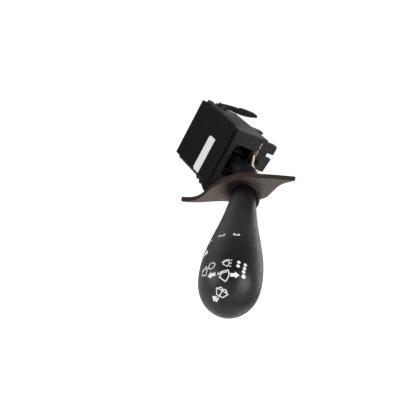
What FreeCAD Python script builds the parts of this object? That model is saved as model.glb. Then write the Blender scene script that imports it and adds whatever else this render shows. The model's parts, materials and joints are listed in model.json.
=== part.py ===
"""Steering-column stalk switch for wipers and washer, as an assembly of separate pieces.

Millimetres. X runs from the housing's rear face towards the lever, Y from the side cover
towards the connector, Z up through the release latch. The origin is the middle of the
housing's flat rear face.
"""
import FreeCAD, Part
import math
import os

os.makedirs("parts", exist_ok=True)

V = FreeCAD.Vector
X_AXIS = V(1, 0, 0)
Y_AXIS = V(0, 1, 0)
Z_AXIS = V(0, 0, 1)

# How far a feature is sunk into its carrier, and how far a cut passes the face
SINK = 0.5
OVERCUT = 1.0

# Housing
CASE_HEIGHT = 34.0
CASE_WALL = 1.6
CASE_FLOOR = 2.0
FLANGE_THICKNESS = 2.4
FLANGE_RISE = 1.7
FLANGE_DROP = 1.75
FLANGE_SETBACK = 1.5
RAMP_SLOT = 1.2
RAMP_REACH = 4.6
RAMP_RISE = 1.5
SCOOP_LENGTH = 5.0
SCOOP_SETBACK = 1.5
COVER_THICKNESS = 1.6
COVER_GAP = 0.8
COVER_SKIRT = 1.0
COVER_LIP_DEPTH = 2.2
COVER_LIP_WALL = 1.0
COVER_LIP_CLEARANCE = 0.1
COVER_PAD = 3.0
COVER_SWING_ROOM = 2.89
TOOTH_WIDTH = 2.4
TOOTH_PITCH = 10.0
EDGE_ROUND = 0.7

# Label strip
LABEL_SETBACK = 14.2
LABEL_WIDTH = 6.4
LABEL_LENGTH = 21.0
LABEL_THICKNESS = 0.15

# Mouth where the lever leaves the housing, measured from the lever's pivot
MOUTH_LOW_JAMB = 0.7
MOUTH_HIGH_JAMB = 1.1
MOUTH_DROP = 8.3
MOUTH_RISE = 10.7
STRIP_BAY_LENGTH = 3.0
STRIP_BAY_HEIGHT = 10.6

# Toothed rail under the flange: distance back from the front face, drop below the housing
HOOK_PROFILE = (
    (15.5, 1.5),
    (13.1, 3.1),
    (10.7, 2.4),
    (9.1, 4.0),
    (6.9, 3.4),
    (2.4, 5.0),
    (1.5, 5.0),
)

# Pivot of the swing yoke and of the lever
PIVOT_SETBACK = 11.0
TRUNNION_RADIUS = 2.5
TRUNNION_HEADROOM = 1.5
BEARING_CLEARANCE = 0.05
BEARING_FLOOR = 0.8
BOSS_WALL = 2.1
END_PLAY = 0.3
YOKE_REAR = 10.0
YOKE_FRONT = 6.0
YOKE_WIDTH = 9.6
YOKE_HEIGHT = 14.0
YOKE_WALL = 2.0
YOKE_WEB = 1.6
YOKE_SIDE_ROOM = 3.0
PULL_PIN_RADIUS = 1.5
PULL_TRAVEL = 8.0
RETURN_SPRING_ARM = 5.0
RETURN_SPRING_RADIUS = 1.6
RETURN_SPRING_TURNS = 5
CORE_SIDE_CLEARANCE = 0.1

# Tail of the yoke with the detent
TAIL_STANDOFF = 3.3
TAIL_ROOT_WIDTH = 6.8
TAIL_TIP_WIDTH = 4.4
TAIL_HEIGHT = 5.6
PLUNGER_RADIUS = 1.2
PLUNGER_LENGTH = 6.0
PLUNGER_ROOM = 3.0
PLUNGER_STANDOFF = 0.3
DETENT_RADIUS = 24.3
DETENT_DEPTH = 3.1
DETENT_RIM = 0.5
DETENT_NOTCH_RADIUS = 1.2
DETENT_LOW_EDGE = 0.49
DETENT_HIGH_EDGE = 1.5
DETENT_STEP = 6.0
DETENT_FIRST = -1
DETENT_LAST = 3
DETENT_HEIGHT = 8.0
DETENT_SPRING_TURNS = 4
SPRING_WIRE = 0.45

# Contact slider, driven by the yoke's tail
DRIVE_RADIUS = 15.0
DRIVE_PIN_RADIUS = 1.2
DRIVE_PIN_CLEARANCE = 0.15
SLIDER_LENGTH = 10.4
SLIDER_WIDTH = 7.2
SLIDER_HEIGHT = 2.85
SLIDER_FLOOR = 1.1
YOKE_SLIDER_GAP = 0.25
TONGUE_REACH = 0.9
TONGUE_HEIGHT = 1.2
SLIDE_CLEARANCE = 0.15
RAIL_WIDTH = 2.6
RAIL_OVERHANG = 1.1
RAIL_BLADE_GAP = 0.3
FINGER_THICKNESS = 0.25
FINGER_COUNT = 4
FINGER_PITCH = 2.3
FINGER_ROOM = 1.8
FINGER_ROOT = 2.0
FINGER_REACH = 3.0
FINGER_FLAT = 0.4
BOARD_THICKNESS = 1.4
BOARD_END_GAP = 1.0
TRACK_THICKNESS = 0.15
TRACK_WIDTH = 1.5

# Connector carrier
CARRIER_THICKNESS = 2.6
CARRIER_SETBACK = 1.0
BLADE_COUNT = 6
BLADE_PITCH = 4.0
BLADE_FIRST_X = 10.0
BLADE_WIDTH = 2.0
BLADE_THICKNESS = 0.8
BLADE_INNER_REACH = 2.3
BLADE_OUTER_REACH = 7.5
BLADE_CLEARANCE = 0.03
SHROUD_DEPTH = 9.0
SHROUD_HEIGHT = 9.6
SHROUD_BLADE_DROP = 2.8
SHROUD_WALL = 1.3
SHROUD_ROUND = 1.04
SHROUD_SIDE_ROOM = 1.2

# Ears, peg and copper bars, measured down from the housing's top
EAR_THICKNESS = 2.8
EAR_REACH = 7.8
EAR_TOP_DROP = 1.2
EAR_HEIGHT = 16.5
EAR_TAPER = 0.9
EAR_ROUND = 1.6
EAR_NOTCH_DEPTH = 4.4
EAR_NOTCH_HEIGHT = 2.5
EAR_NOTCH_DROP = 7.95
TOP_EAR_SETBACK = 17.5
TOP_EAR_WIDTH = 4.4
TOP_EAR_REACH = 6.5
TOP_EAR_HEIGHT = 5.2
TOP_EAR_TIP = 0.87
PEG_RADIUS = 1.9
PEG_LENGTH = 3.4
PEG_ROUND = 0.48
PEG_OUT = 2.9
PEG_DROP = 13.1
STRIP_THICKNESS = 0.5
STRIP_LENGTH = 26.0
STRIP_DROPS = ((6.5, 2.6), (10.6, 7.1))

# Cream lead round the peg: points chosen by hand, from the peg's foot and from the plug's top corner
LEAD_RADIUS = 0.65
LEAD_ARC_SHARE = 0.45
LEAD_FROM_PEG = (
    (-0.7, -3.8, 2.3),
    (0.9, -4.0, 0.5),
    (1.05, -3.5, -1.7),
    (1.1, -1.7, -3.5),
    (1.1, 0.6, -4.5),
    (0.9, 3.6, -5.3),
)
LEAD_FROM_PLUG = (
    (5.1, -3.3, 3.2),
    (2.3, -3.4, 0.4),
    (0.57, -3.5, -2.3),
)

# Release latch on top; its outline is measured from the root's centre
LATCH_X = 10.0
LATCH_WIDTH = 3.0
LATCH_ROOT_OUT = 2.4
LATCH_ROOT_RISE = 2.5
LATCH_PIN_RADIUS = 0.7
LATCH_ROOT_RADIUS = 1.1
LATCH_PEAK = (11.9, 2.3)
LATCH_BACK = (6.0, 1.95)
LATCH_STEP = 0.3
LATCH_FALL = (17.9, 2.8)
LATCH_TIP_TOP = (23.6, 2.3)
LATCH_TIP_END = (24.15, 1.8)
LATCH_TIP_LOW = (23.2, 1.4)
LATCH_BELLY = (14.3, 0.65)
LATCH_WAIST = (4.8, 0.8)
LATCH_ROOT_LOW = (0.0, -0.9)
LATCH_EAR_THICKNESS = 1.8
LATCH_SIDE_CLEARANCE = 0.1

# Lever: the elbow is where the stem turns, LEVER_YAW and LEVER_PITCH are its heading
ELBOW_REACH = 12.8
LEVER_YAW = -28.22
LEVER_PITCH = -18.61
LEVER_ROLL = 20.5
ROOT_RADIUS = 3.8
ROOT_STANDOFF = 1.2
NECK_RADIUS = 5.45
CORE_TUBE_RADIUS = 3.4
CORE_BORE_RADIUS = 2.2
CORE_BAR_WIDTH = 5.4
CORE_BAR_HEIGHT = 6.0
CORE_BAR_TAIL = 7.6
CORE_EYE_WALL = 1.5
CORE_SETBACK = 17.85
SHELL_START = 9.0
SHELL_WALL = 1.4
SPIGOT_LENGTH = 12.0
SPIGOT_CLEARANCE = 0.05
RING_SETBACK = 30.35
RING_LENGTH = 10.2
RING_GAP = 0.2
RING_BORE_RADIUS = 12.06
RING_CLEARANCE = 0.06
RING_TRAVEL = 58.0
HUB_WALL = 1.5
HUB_WEB = 1.4
HUB_TAIL = 1.7
HUB_RIM = 1.0
HUB_WINDOW_PLAY = 2.0
LUG_ANGLE = 18.0
LUG_START_ANGLE = 180.0
LUG_REACH = 3.4
LUG_HEIGHT = 2.5
WAFER_THICKNESS = 0.8
WAFER_BORE_GAP = 1.4
WIPER_INSET = 0.2
WIPER_WIDTH = 1.2
CAP_WALL = 1.6
CAP_STEM_WALL = 1.3
CAP_GRIP = 6.0
FEED_RADIUS = 0.4
FEED_COUNT = 3
FEED_ANGLE = 32.0
FEED_END_GAP = 1.0
LEVER_LENGTH = 105.85

# Lever outline: the neck by shares of the way to the ring, the head by distance from the tip
NECK_START = 4.0
NECK_SHARES = (0.196, 0.403, 0.6405, 0.8365)
NECK_RADII = (6.05, 7.45, 9.8, 12.3)
HEAD_PROFILE = (
    (30.05, 13.9),
    (20.05, 14.15),
    (12.05, 13.1),
    (7.05, 10.9),
    (2.95, 7.3),
)

# Wash contacts under the lever's thin tail
BRIDGE_LENGTH = 1.2
BRIDGE_EDGE = 0.2
WASH_POST_LENGTH = 1.0
WASH_POST_WIDTH = 1.2
WASH_POST_Y = 1.7
WASH_GAP = 0.15

# Foam pad on the neck: its outline is drawn in shares of the two half sizes
PAD_AT = 17.0
PAD_TILT = 10.0
PAD_THICKNESS = 3.2
PAD_HOLE_CLEARANCE = 0.54
PAD_HOLE_OFFSET = 1.8
PAD_HALF_LENGTH = 28.5
PAD_HALF_WIDTH = 10.4
PAD_LEFT_SHARES = ((-1.0, -1.2), (-0.85, -0.98), (-0.72, -0.64), (-0.45, 0.45), (-0.34, 0.82))
PAD_RIGHT_SHARES = ((0.92, 1.2), (0.75, 0.98), (0.54, 0.44), (0.36, -0.14), (0.12, -0.72))

CASE_TOP = CASE_HEIGHT / 2
CASE_BOTTOM = -CASE_HEIGHT / 2
CAVITY_TOP = CASE_TOP - CASE_FLOOR
CAVITY_BOTTOM = CASE_BOTTOM + CASE_FLOOR
BOARD_TOP = CAVITY_BOTTOM + BOARD_THICKNESS
SLIDER_LOW_Z = BOARD_TOP + FINGER_ROOM
SLIDER_HIGH_Z = SLIDER_LOW_Z + SLIDER_HEIGHT
YOKE_BOTTOM = SLIDER_HIGH_Z + YOKE_SLIDER_GAP
YOKE_TOP = YOKE_BOTTOM + YOKE_HEIGHT
PIVOT_Z = (YOKE_BOTTOM + YOKE_TOP) / 2
TRUNNION_TOP = CAVITY_TOP - TRUNNION_HEADROOM
TRUNNION_BOTTOM = CAVITY_BOTTOM + BEARING_FLOOR + END_PLAY
PIVOT_X = CASE_WALL + DETENT_DEPTH + DETENT_RADIUS
CASE_LENGTH = PIVOT_X + PIVOT_SETBACK
ELBOW_X = CASE_LENGTH + ELBOW_REACH
TAIL_REACH = DETENT_RADIUS - TAIL_STANDOFF
DRIVE_X = PIVOT_X - DRIVE_RADIUS
BOSS_RADIUS = TRUNNION_RADIUS + BOSS_WALL
LAST_SIDE_Y = -DETENT_RADIUS * math.sin(math.radians(DETENT_LAST * DETENT_STEP))
COVER_INNER_Y = LAST_SIDE_Y - COVER_SWING_ROOM
COVER_FACE_Y = COVER_INNER_Y - COVER_THICKNESS
FLANGE_FACE_Y = COVER_INNER_Y + COVER_GAP
BODY_FACE_Y = FLANGE_FACE_Y + FLANGE_THICKNESS
COVER_LIP_END = COVER_INNER_Y + COVER_LIP_DEPTH
CAVITY_BACK_Y = YOKE_WIDTH / 2 + YOKE_SIDE_ROOM
BODY_BACK_Y = CAVITY_BACK_Y + CASE_WALL
CARRIER_BACK_Y = BODY_BACK_Y + CARRIER_THICKNESS
BLADE_INNER_Y = CAVITY_BACK_Y - BLADE_INNER_REACH
BLADE_OUTER_Y = CARRIER_BACK_Y + BLADE_OUTER_REACH
RAIL_LOW_Y = BODY_FACE_Y - RAIL_OVERHANG
RAIL_HIGH_Y = BLADE_INNER_Y - RAIL_BLADE_GAP
SHROUD_LOW_Z = BOARD_TOP - SHROUD_BLADE_DROP
SHROUD_HIGH_Z = SHROUD_LOW_Z + SHROUD_HEIGHT
LATCH_ROOT_Y = BODY_FACE_Y + LATCH_ROOT_OUT
LATCH_ROOT_Z = CASE_TOP + LATCH_ROOT_RISE
LATCH_OUTER = LATCH_WIDTH / 2 + LATCH_SIDE_CLEARANCE + LATCH_EAR_THICKNESS
PEG_Y = BODY_BACK_Y + PEG_OUT
PEG_Z = CASE_TOP - PEG_DROP
RING_START = LEVER_LENGTH - RING_SETBACK
CORE_END = LEVER_LENGTH - CORE_SETBACK


def block(low, high):
    """A box between two corners."""
    low, high = V(*low), V(*high)
    size = high - low
    return Part.makeBox(size.x, size.y, size.z, low)


def rod(start, direction, radius, length):
    return Part.makeCylinder(radius, length, V(*start), direction)


def joined(first, *others):
    """One solid from pieces that share faces."""
    return first.fuse(list(others)).removeSplitter()


def turned(outline, angle=360.0):
    """A solid of revolution about Z from (radius, height) points joined by straight lines."""
    points = [V(radius, 0, height) for radius, height in outline]
    face = Part.Face(Part.makePolygon(points + points[:1]))
    return face.revolve(V(), Z_AXIS, angle)


def export(name, *solids):
    """Write one node; a node may hold several separate solids."""
    shape = solids[0] if len(solids) == 1 else Part.makeCompound(list(solids))
    shape.exportStep("parts/%s.step" % name)
    print(name, len(shape.Solids), round(shape.Volume, 1), shape.isValid())


def lever_placement():
    """Local Z runs along the lever from the elbow, local Y faces the driver."""
    yaw, pitch = math.radians(LEVER_YAW), math.radians(LEVER_PITCH)
    along = V(math.cos(pitch) * math.cos(yaw), math.cos(pitch) * math.sin(yaw), math.sin(pitch))
    level = Z_AXIS.cross(along).normalize()
    roll = FreeCAD.Rotation(along, LEVER_ROLL)
    side = roll.multVec(level)
    turn = FreeCAD.Rotation(side, along.cross(side), along, "ZXY")
    return FreeCAD.Placement(V(ELBOW_X, 0, PIVOT_Z), turn)


def on_lever(shape):
    placed = shape.copy()
    placed.transformShape(lever_placement().toMatrix())
    return placed


def lever_outline():
    """Height and radius of each point of the lever's outline, from the neck to the dome."""
    span = RING_START - NECK_START
    neck = [(NECK_START + share * span, radius) for share, radius in zip(NECK_SHARES, NECK_RADII)]
    head = [(LEVER_LENGTH - setback, radius) for setback, radius in HEAD_PROFILE]
    return [(NECK_START, NECK_RADIUS)] + neck + head


def radius_at(height):
    """The lever's radius at a height, straight between two points of the outline."""
    outline = lever_outline()
    for (low, low_radius), (high, high_radius) in zip(outline, outline[1:]):
        if low <= height <= high:
            return low_radius + (high_radius - low_radius) * (height - low) / (high - low)
    return NECK_RADIUS


def profile_curve(inset=0.0):
    """The lever's outline as a spline of (radius, height), closed on the axis by the dome."""
    points = [V(radius - inset, 0, height) for height, radius in lever_outline()]
    points.append(V(0, 0, LEVER_LENGTH - inset))
    curve = Part.BSplineCurve()
    curve.interpolate(points, InitialTangent=V(0, 0, 1), FinalTangent=V(-1, 0, 0))
    return curve


def lever_form(inset=0.0):
    """The full outer form of the lever as a turned solid, smaller by inset."""
    curve = profile_curve(inset).toShape()
    first, last = curve.Vertexes[0].Point, curve.Vertexes[-1].Point
    foot = V(0, 0, first.z)
    wire = Part.Wire([Part.makeLine(last, foot), Part.makeLine(foot, first), curve])
    return Part.Face(wire).revolve(V(), Z_AXIS, 360)


def slab(low, high):
    """A wide disc that cuts a stretch of the lever between two heights."""
    return Part.makeCylinder(LEVER_LENGTH, high - low, V(0, 0, low))


def bearing_boss(low, high):
    return rod((PIVOT_X, 0, low), Z_AXIS, BOSS_RADIUS, high - low)


def bearing_socket(low, high):
    """A socket for a trunnion, open towards the cover so that the yoke drops in."""
    radius = TRUNNION_RADIUS + BEARING_CLEARANCE
    hole = rod((PIVOT_X, 0, low), Z_AXIS, radius, high - low)
    way_in = block((PIVOT_X - radius, -BOSS_RADIUS - OVERCUT, low), (PIVOT_X + radius, 0, high))
    return hole.fuse(way_in)


def hook_rail():
    """The toothed rail under the flange, drawn in the XZ plane."""
    outline = [(CASE_LENGTH - setback, CASE_BOTTOM - drop) for setback, drop in HOOK_PROFILE]
    outline = [(outline[0][0], CASE_BOTTOM)] + outline + [(outline[-1][0], CASE_BOTTOM)]
    points = [V(x, FLANGE_FACE_Y, z) for x, z in outline]
    face = Part.Face(Part.makePolygon(points + points[:1]))
    return face.extrude(V(0, FLANGE_THICKNESS, 0))


def latch_ears():
    """Two ears behind the flange that carry the latch's trunnions."""
    ears = []
    for start in (LATCH_X - LATCH_OUTER, LATCH_X + LATCH_OUTER - LATCH_EAR_THICKNESS):
        post = block((start, BODY_FACE_Y, CASE_TOP),
                     (start + LATCH_EAR_THICKNESS, LATCH_ROOT_Y + LATCH_ROOT_RADIUS, LATCH_ROOT_Z))
        crown = rod((start, LATCH_ROOT_Y, LATCH_ROOT_Z), X_AXIS, LATCH_ROOT_RADIUS, LATCH_EAR_THICKNESS)
        ears.append(post.fuse(crown))
    return ears


def top_ramp():
    """Hollow ramp from the flange down to the housing's top, which it meets smoothly."""
    start = LATCH_X + LATCH_OUTER
    crest = V(start, BODY_FACE_Y + RAMP_SLOT, CASE_TOP + RAMP_RISE)
    foot = V(start, crest.y + RAMP_REACH, CASE_TOP)
    radius = (RAMP_REACH ** 2 + RAMP_RISE ** 2) / (2 * RAMP_RISE)
    half_turn = math.asin(RAMP_REACH / radius) / 2
    middle = foot + V(0, -radius * math.sin(half_turn), radius * (1 - math.cos(half_turn)))
    root_low = V(start, BODY_FACE_Y, CASE_TOP)
    root_high = V(start, BODY_FACE_Y, crest.z)
    edges = [Part.makeLine(root_low, root_high), Part.makeLine(root_high, crest),
             Part.Arc(crest, middle, foot).toShape(), Part.makeLine(foot, root_low)]
    return Part.Face(Part.Wire(edges)).extrude(V(CASE_LENGTH - EDGE_ROUND - start, 0, 0))


def ramp_slot():
    """Narrow groove between the flange and the ramp."""
    return block((LATCH_X + LATCH_OUTER, BODY_FACE_Y, CASE_TOP - RAMP_SLOT / 2),
                 (CASE_LENGTH - SCOOP_SETBACK - SCOOP_LENGTH, BODY_FACE_Y + RAMP_SLOT,
                  CASE_TOP + RAMP_RISE + OVERCUT))


def front_scoop():
    """Hollow end of the flange and the ramp, down to the housing's flat top at the front."""
    end = CASE_LENGTH - SCOOP_SETBACK
    radius = (SCOOP_LENGTH ** 2 + FLANGE_RISE ** 2) / (2 * FLANGE_RISE)
    half_turn = math.asin(SCOOP_LENGTH / radius) / 2
    over = CASE_TOP + FLANGE_RISE + OVERCUT
    start = V(end - SCOOP_LENGTH, FLANGE_FACE_Y - SINK, CASE_TOP + FLANGE_RISE)
    low = V(end, start.y, CASE_TOP)
    middle = low + V(-radius * math.sin(half_turn), 0, radius * (1 - math.cos(half_turn)))
    rest = [low, V(CASE_LENGTH + OVERCUT, start.y, CASE_TOP), V(CASE_LENGTH + OVERCUT, start.y, over),
            V(start.x, start.y, over), start]
    edges = [Part.Arc(start, middle, low).toShape()]
    edges += [Part.makeLine(first, second) for first, second in zip(rest, rest[1:])]
    depth = FLANGE_THICKNESS + RAMP_SLOT + RAMP_REACH + 2 * SINK
    return Part.Face(Part.Wire(edges)).extrude(V(0, depth, 0))


def make_case():
    body = block((0, BODY_FACE_Y, CASE_BOTTOM), (CASE_LENGTH, BODY_BACK_Y, CASE_TOP))
    front_edges = [edge for edge in body.Edges
                   if abs(edge.CenterOfMass.x - CASE_LENGTH) < 0.01
                   and abs(abs(edge.CenterOfMass.z) - CASE_TOP) < 0.01]
    body = body.makeFillet(EDGE_ROUND, front_edges)
    flange = block((FLANGE_SETBACK, FLANGE_FACE_Y, CASE_BOTTOM - FLANGE_DROP),
                   (CASE_LENGTH, BODY_FACE_Y, CASE_TOP + FLANGE_RISE))
    corners = [edge for edge in flange.Edges
               if abs(edge.CenterOfMass.y - (FLANGE_FACE_Y + BODY_FACE_Y) / 2) < 0.01]
    flange = flange.makeFillet(EDGE_ROUND, corners)
    rear_rim = block((0, FLANGE_FACE_Y, CASE_BOTTOM), (FLANGE_SETBACK + OVERCUT, BODY_FACE_Y, CASE_TOP))
    case = joined(body, flange, rear_rim, hook_rail(), top_ramp(), *latch_ears())
    cavity = block((CASE_WALL, FLANGE_FACE_Y, CAVITY_BOTTOM),
                   (CASE_LENGTH - CASE_WALL, CAVITY_BACK_Y, CAVITY_TOP))
    case = case.cut(cavity)
    upper_face = YOKE_TOP + END_PLAY
    lower_face = YOKE_BOTTOM - END_PLAY
    case = joined(case, bearing_boss(upper_face, CAVITY_TOP), bearing_boss(CAVITY_BOTTOM, lower_face))
    cuts = [bearing_socket(upper_face - OVERCUT, TRUNNION_TOP + END_PLAY),
            bearing_socket(TRUNNION_BOTTOM - END_PLAY, lower_face + OVERCUT)]
    cuts.append(block((CASE_LENGTH - 2 * CASE_WALL, BODY_FACE_Y + MOUTH_LOW_JAMB, PIVOT_Z - MOUTH_DROP),
                      (CASE_LENGTH + OVERCUT, BODY_BACK_Y - MOUTH_HIGH_JAMB, PIVOT_Z + MOUTH_RISE)))
    cuts.append(block((CASE_LENGTH - STRIP_BAY_LENGTH, CAVITY_BACK_Y - SLIDE_CLEARANCE,
                       CAVITY_TOP - STRIP_BAY_HEIGHT),
                      (CASE_LENGTH + OVERCUT, BODY_BACK_Y + OVERCUT, CAVITY_TOP)))
    cuts += blade_slots(CAVITY_BACK_Y - OVERCUT, BODY_BACK_Y + OVERCUT)
    cuts.append(rod((LATCH_X - LATCH_OUTER - OVERCUT, LATCH_ROOT_Y, LATCH_ROOT_Z), X_AXIS,
                    LATCH_PIN_RADIUS + BEARING_CLEARANCE, 2 * (LATCH_OUTER + OVERCUT)))
    cuts += [latch_relief(), ramp_slot(), front_scoop()]
    return case.cut(cuts)


def latch_relief():
    """Room between the ears for the latch's root."""
    half = LATCH_WIDTH / 2 + LATCH_SIDE_CLEARANCE
    radius = LATCH_ROOT_RADIUS + END_PLAY
    return rod((LATCH_X - half, LATCH_ROOT_Y, LATCH_ROOT_Z), X_AXIS, radius, 2 * half)


def blade_slots(low_y, high_y):
    """Slots for the terminal blades through a wall."""
    slots = []
    for index in range(BLADE_COUNT):
        x = BLADE_FIRST_X + index * BLADE_PITCH
        half = BLADE_WIDTH / 2 + BLADE_CLEARANCE
        slots.append(block((x - half, low_y, BOARD_TOP - BLADE_CLEARANCE),
                           (x + half, high_y, BOARD_TOP + BLADE_THICKNESS + BLADE_CLEARANCE)))
    return slots


def make_side_cover():
    plate = block((0, COVER_FACE_Y, CASE_BOTTOM), (CASE_LENGTH, COVER_INNER_Y, CASE_TOP))
    corners = [edge for edge in plate.Edges
               if abs(edge.CenterOfMass.y - (COVER_FACE_Y + COVER_INNER_Y) / 2) < 0.01]
    plate = plate.makeFillet(EDGE_ROUND, corners)
    front = [edge for edge in plate.Edges if abs(edge.CenterOfMass.y - COVER_FACE_Y) < 0.01]
    plate = plate.makeFillet(EDGE_ROUND / 2, front)
    gap = COVER_LIP_CLEARANCE
    lip = block((CASE_WALL + gap, COVER_INNER_Y, CAVITY_BOTTOM + gap),
                (CASE_LENGTH - CASE_WALL - gap, COVER_LIP_END, CAVITY_TOP - gap))
    wall = gap + COVER_LIP_WALL
    inside = block((CASE_WALL + wall, COVER_INNER_Y, CAVITY_BOTTOM + wall),
                   (CASE_LENGTH - CASE_WALL - wall, COVER_LIP_END, CAVITY_TOP - wall))
    skirt = block((CASE_LENGTH - COVER_SKIRT, COVER_INNER_Y, CASE_BOTTOM + EDGE_ROUND),
                  (CASE_LENGTH, FLANGE_FACE_Y, CASE_TOP - EDGE_ROUND))
    pieces = [lip.cut(inside), skirt]
    for x in (FLANGE_SETBACK, CASE_LENGTH - COVER_PAD):
        for z in (CASE_BOTTOM, CASE_TOP - COVER_PAD):
            pieces.append(block((x, COVER_INNER_Y, z), (x + COVER_PAD, FLANGE_FACE_Y, z + COVER_PAD)))
    for index in (-1, 0, 1):
        x = CASE_LENGTH / 2 + index * TOOTH_PITCH
        for z in (CASE_BOTTOM, CASE_TOP - CASE_FLOOR):
            pieces.append(block((x - TOOTH_WIDTH / 2, COVER_INNER_Y, z),
                                (x + TOOTH_WIDTH / 2, FLANGE_FACE_Y, z + CASE_FLOOR)))
    pieces += bearing_keepers()
    return joined(plate, *pieces)


def bearing_keepers():
    """Posts on the cover that close the two bearing sockets."""
    half = TRUNNION_RADIUS - END_PLAY
    keepers = []
    spans = ((YOKE_TOP + 2 * END_PLAY, TRUNNION_TOP),
             (BOARD_TOP + 2 * END_PLAY, YOKE_BOTTOM - 2 * END_PLAY))
    for low, high in spans:
        post = block((PIVOT_X - half, COVER_INNER_Y, low), (PIVOT_X + half, -TRUNNION_RADIUS / 2, high))
        room = rod((PIVOT_X, 0, low - OVERCUT), Z_AXIS, TRUNNION_RADIUS + 2 * BEARING_CLEARANCE,
                   high - low + 2 * OVERCUT)
        keepers.append(post.cut(room))
    return keepers


def make_label_strip():
    """Bare strip that runs down to the cover's lower edge, with one rounded end."""
    middle_x = CASE_LENGTH - LABEL_SETBACK
    low_z = CASE_BOTTOM + EDGE_ROUND
    strip = block((middle_x - LABEL_WIDTH / 2, COVER_FACE_Y - LABEL_THICKNESS, low_z),
                  (middle_x + LABEL_WIDTH / 2, COVER_FACE_Y, low_z + LABEL_LENGTH))
    corners = [edge for edge in strip.Edges
               if abs(edge.Length - LABEL_THICKNESS) < 1e-6
               and edge.CenterOfMass.x < middle_x]
    return strip.makeFillet(LABEL_WIDTH / 4, corners)


def strip_spans():
    """Low and high Z of each copper bar."""
    return [(CASE_TOP - low, CASE_TOP - high) for low, high in STRIP_DROPS]


def make_carrier():
    """Moulding behind the housing: plate, notched ear, top ear, peg and connector shroud."""
    plate = block((CARRIER_SETBACK, BODY_BACK_Y, CASE_BOTTOM), (CASE_LENGTH, CARRIER_BACK_Y, CASE_TOP))
    carrier = joined(plate, notched_ear(), top_ear(), connector_shroud(), lead_peg())
    cuts = blade_slots(BODY_BACK_Y - OVERCUT, CARRIER_BACK_Y + OVERCUT)
    for low, high in strip_spans():
        cuts.append(block((CASE_LENGTH - STRIP_LENGTH, BODY_BACK_Y - OVERCUT, low),
                          (CASE_LENGTH + OVERCUT, BODY_BACK_Y + STRIP_THICKNESS, high)))
    return carrier.cut(cuts)


def notched_ear():
    """Fixing ear at the lever end, with a slot open at its outer edge."""
    outer = CARRIER_BACK_Y + EAR_REACH
    ear_top = CASE_TOP - EAR_TOP_DROP
    ear_low = ear_top - EAR_HEIGHT
    notch_low = CASE_TOP - EAR_NOTCH_DROP - EAR_NOTCH_HEIGHT / 2
    notch_high = notch_low + EAR_NOTCH_HEIGHT
    outline = [
        (BODY_BACK_Y, ear_low),
        (outer - EAR_TAPER, ear_low),
        (outer, notch_low),
        (outer - EAR_NOTCH_DEPTH, notch_low),
        (outer - EAR_NOTCH_DEPTH, notch_high),
        (outer, notch_high),
        (outer, ear_top),
        (BODY_BACK_Y, ear_top),
    ]
    points = [V(CASE_LENGTH - EAR_THICKNESS, y, z) for y, z in outline]
    ear = Part.Face(Part.makePolygon(points + points[:1])).extrude(V(EAR_THICKNESS, 0, 0))
    corner = [edge for edge in ear.Edges
              if abs(edge.CenterOfMass.y - outer) < 0.01 and abs(edge.CenterOfMass.z - ear_top) < 0.01
              and abs(edge.Length - EAR_THICKNESS) < 0.01]
    return ear.makeFillet(EAR_ROUND, corner)


def top_ear():
    """Pointed stop at the top edge of the carrier."""
    start = CASE_LENGTH - TOP_EAR_SETBACK - TOP_EAR_WIDTH / 2
    outline = [
        (CARRIER_BACK_Y, CASE_TOP),
        (CARRIER_BACK_Y + TOP_EAR_REACH, CASE_TOP),
        (CARRIER_BACK_Y + TOP_EAR_REACH, CASE_TOP - TOP_EAR_TIP),
        (CARRIER_BACK_Y, CASE_TOP - TOP_EAR_HEIGHT),
    ]
    points = [V(start, y, z) for y, z in outline]
    return Part.Face(Part.makePolygon(points + points[:1])).extrude(V(TOP_EAR_WIDTH, 0, 0))


def shroud_span():
    """The inner ends of the connector along X."""
    first = BLADE_FIRST_X - BLADE_WIDTH / 2 - SHROUD_SIDE_ROOM
    last = BLADE_FIRST_X + (BLADE_COUNT - 1) * BLADE_PITCH + BLADE_WIDTH / 2 + SHROUD_SIDE_ROOM
    return first, last


def connector_shroud():
    first, last = shroud_span()
    end_y = CARRIER_BACK_Y + SHROUD_DEPTH
    outer = block((first - SHROUD_WALL, CARRIER_BACK_Y, SHROUD_LOW_Z),
                  (last + SHROUD_WALL, end_y, SHROUD_HIGH_Z))
    middle_y = (CARRIER_BACK_Y + end_y) / 2
    long_edges = [edge for edge in outer.Edges if abs(edge.CenterOfMass.y - middle_y) < 0.01]
    outer = outer.makeFillet(SHROUD_ROUND, long_edges)
    inner = block((first, CARRIER_BACK_Y, SHROUD_LOW_Z + SHROUD_WALL),
                  (last, end_y, SHROUD_HIGH_Z - SHROUD_WALL))
    middle = (first + last) / 2
    key = block((middle - SHROUD_WALL, CARRIER_BACK_Y, SHROUD_HIGH_Z - SINK),
                (middle + SHROUD_WALL, end_y - SHROUD_WALL, SHROUD_HIGH_Z + SHROUD_WALL))
    return outer.cut(inner).fuse(key)


def lead_peg():
    """Round peg on the ear that the cream lead curls round, with a rounded end."""
    stem = rod((CASE_LENGTH, PEG_Y, PEG_Z), X_AXIS, PEG_RADIUS, PEG_LENGTH)
    rim = [edge for edge in stem.Edges
           if abs(edge.CenterOfMass.x - CASE_LENGTH - PEG_LENGTH) < 0.01 and edge.Length > PEG_RADIUS * 4]
    return stem.makeFillet(PEG_ROUND, rim)


def make_blades():
    blades = []
    for index in range(BLADE_COUNT):
        x = BLADE_FIRST_X + index * BLADE_PITCH
        blade = block((x - BLADE_WIDTH / 2, BLADE_INNER_Y, BOARD_TOP),
                      (x + BLADE_WIDTH / 2, BLADE_OUTER_Y, BOARD_TOP + BLADE_THICKNESS))
        tip = [edge for edge in blade.Edges
               if abs(edge.CenterOfMass.y - BLADE_OUTER_Y) < 0.01 and abs(edge.Length - BLADE_WIDTH) < 0.01]
        blades.append(blade.makeChamfer(BLADE_THICKNESS / 3, tip))
    return blades


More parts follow.
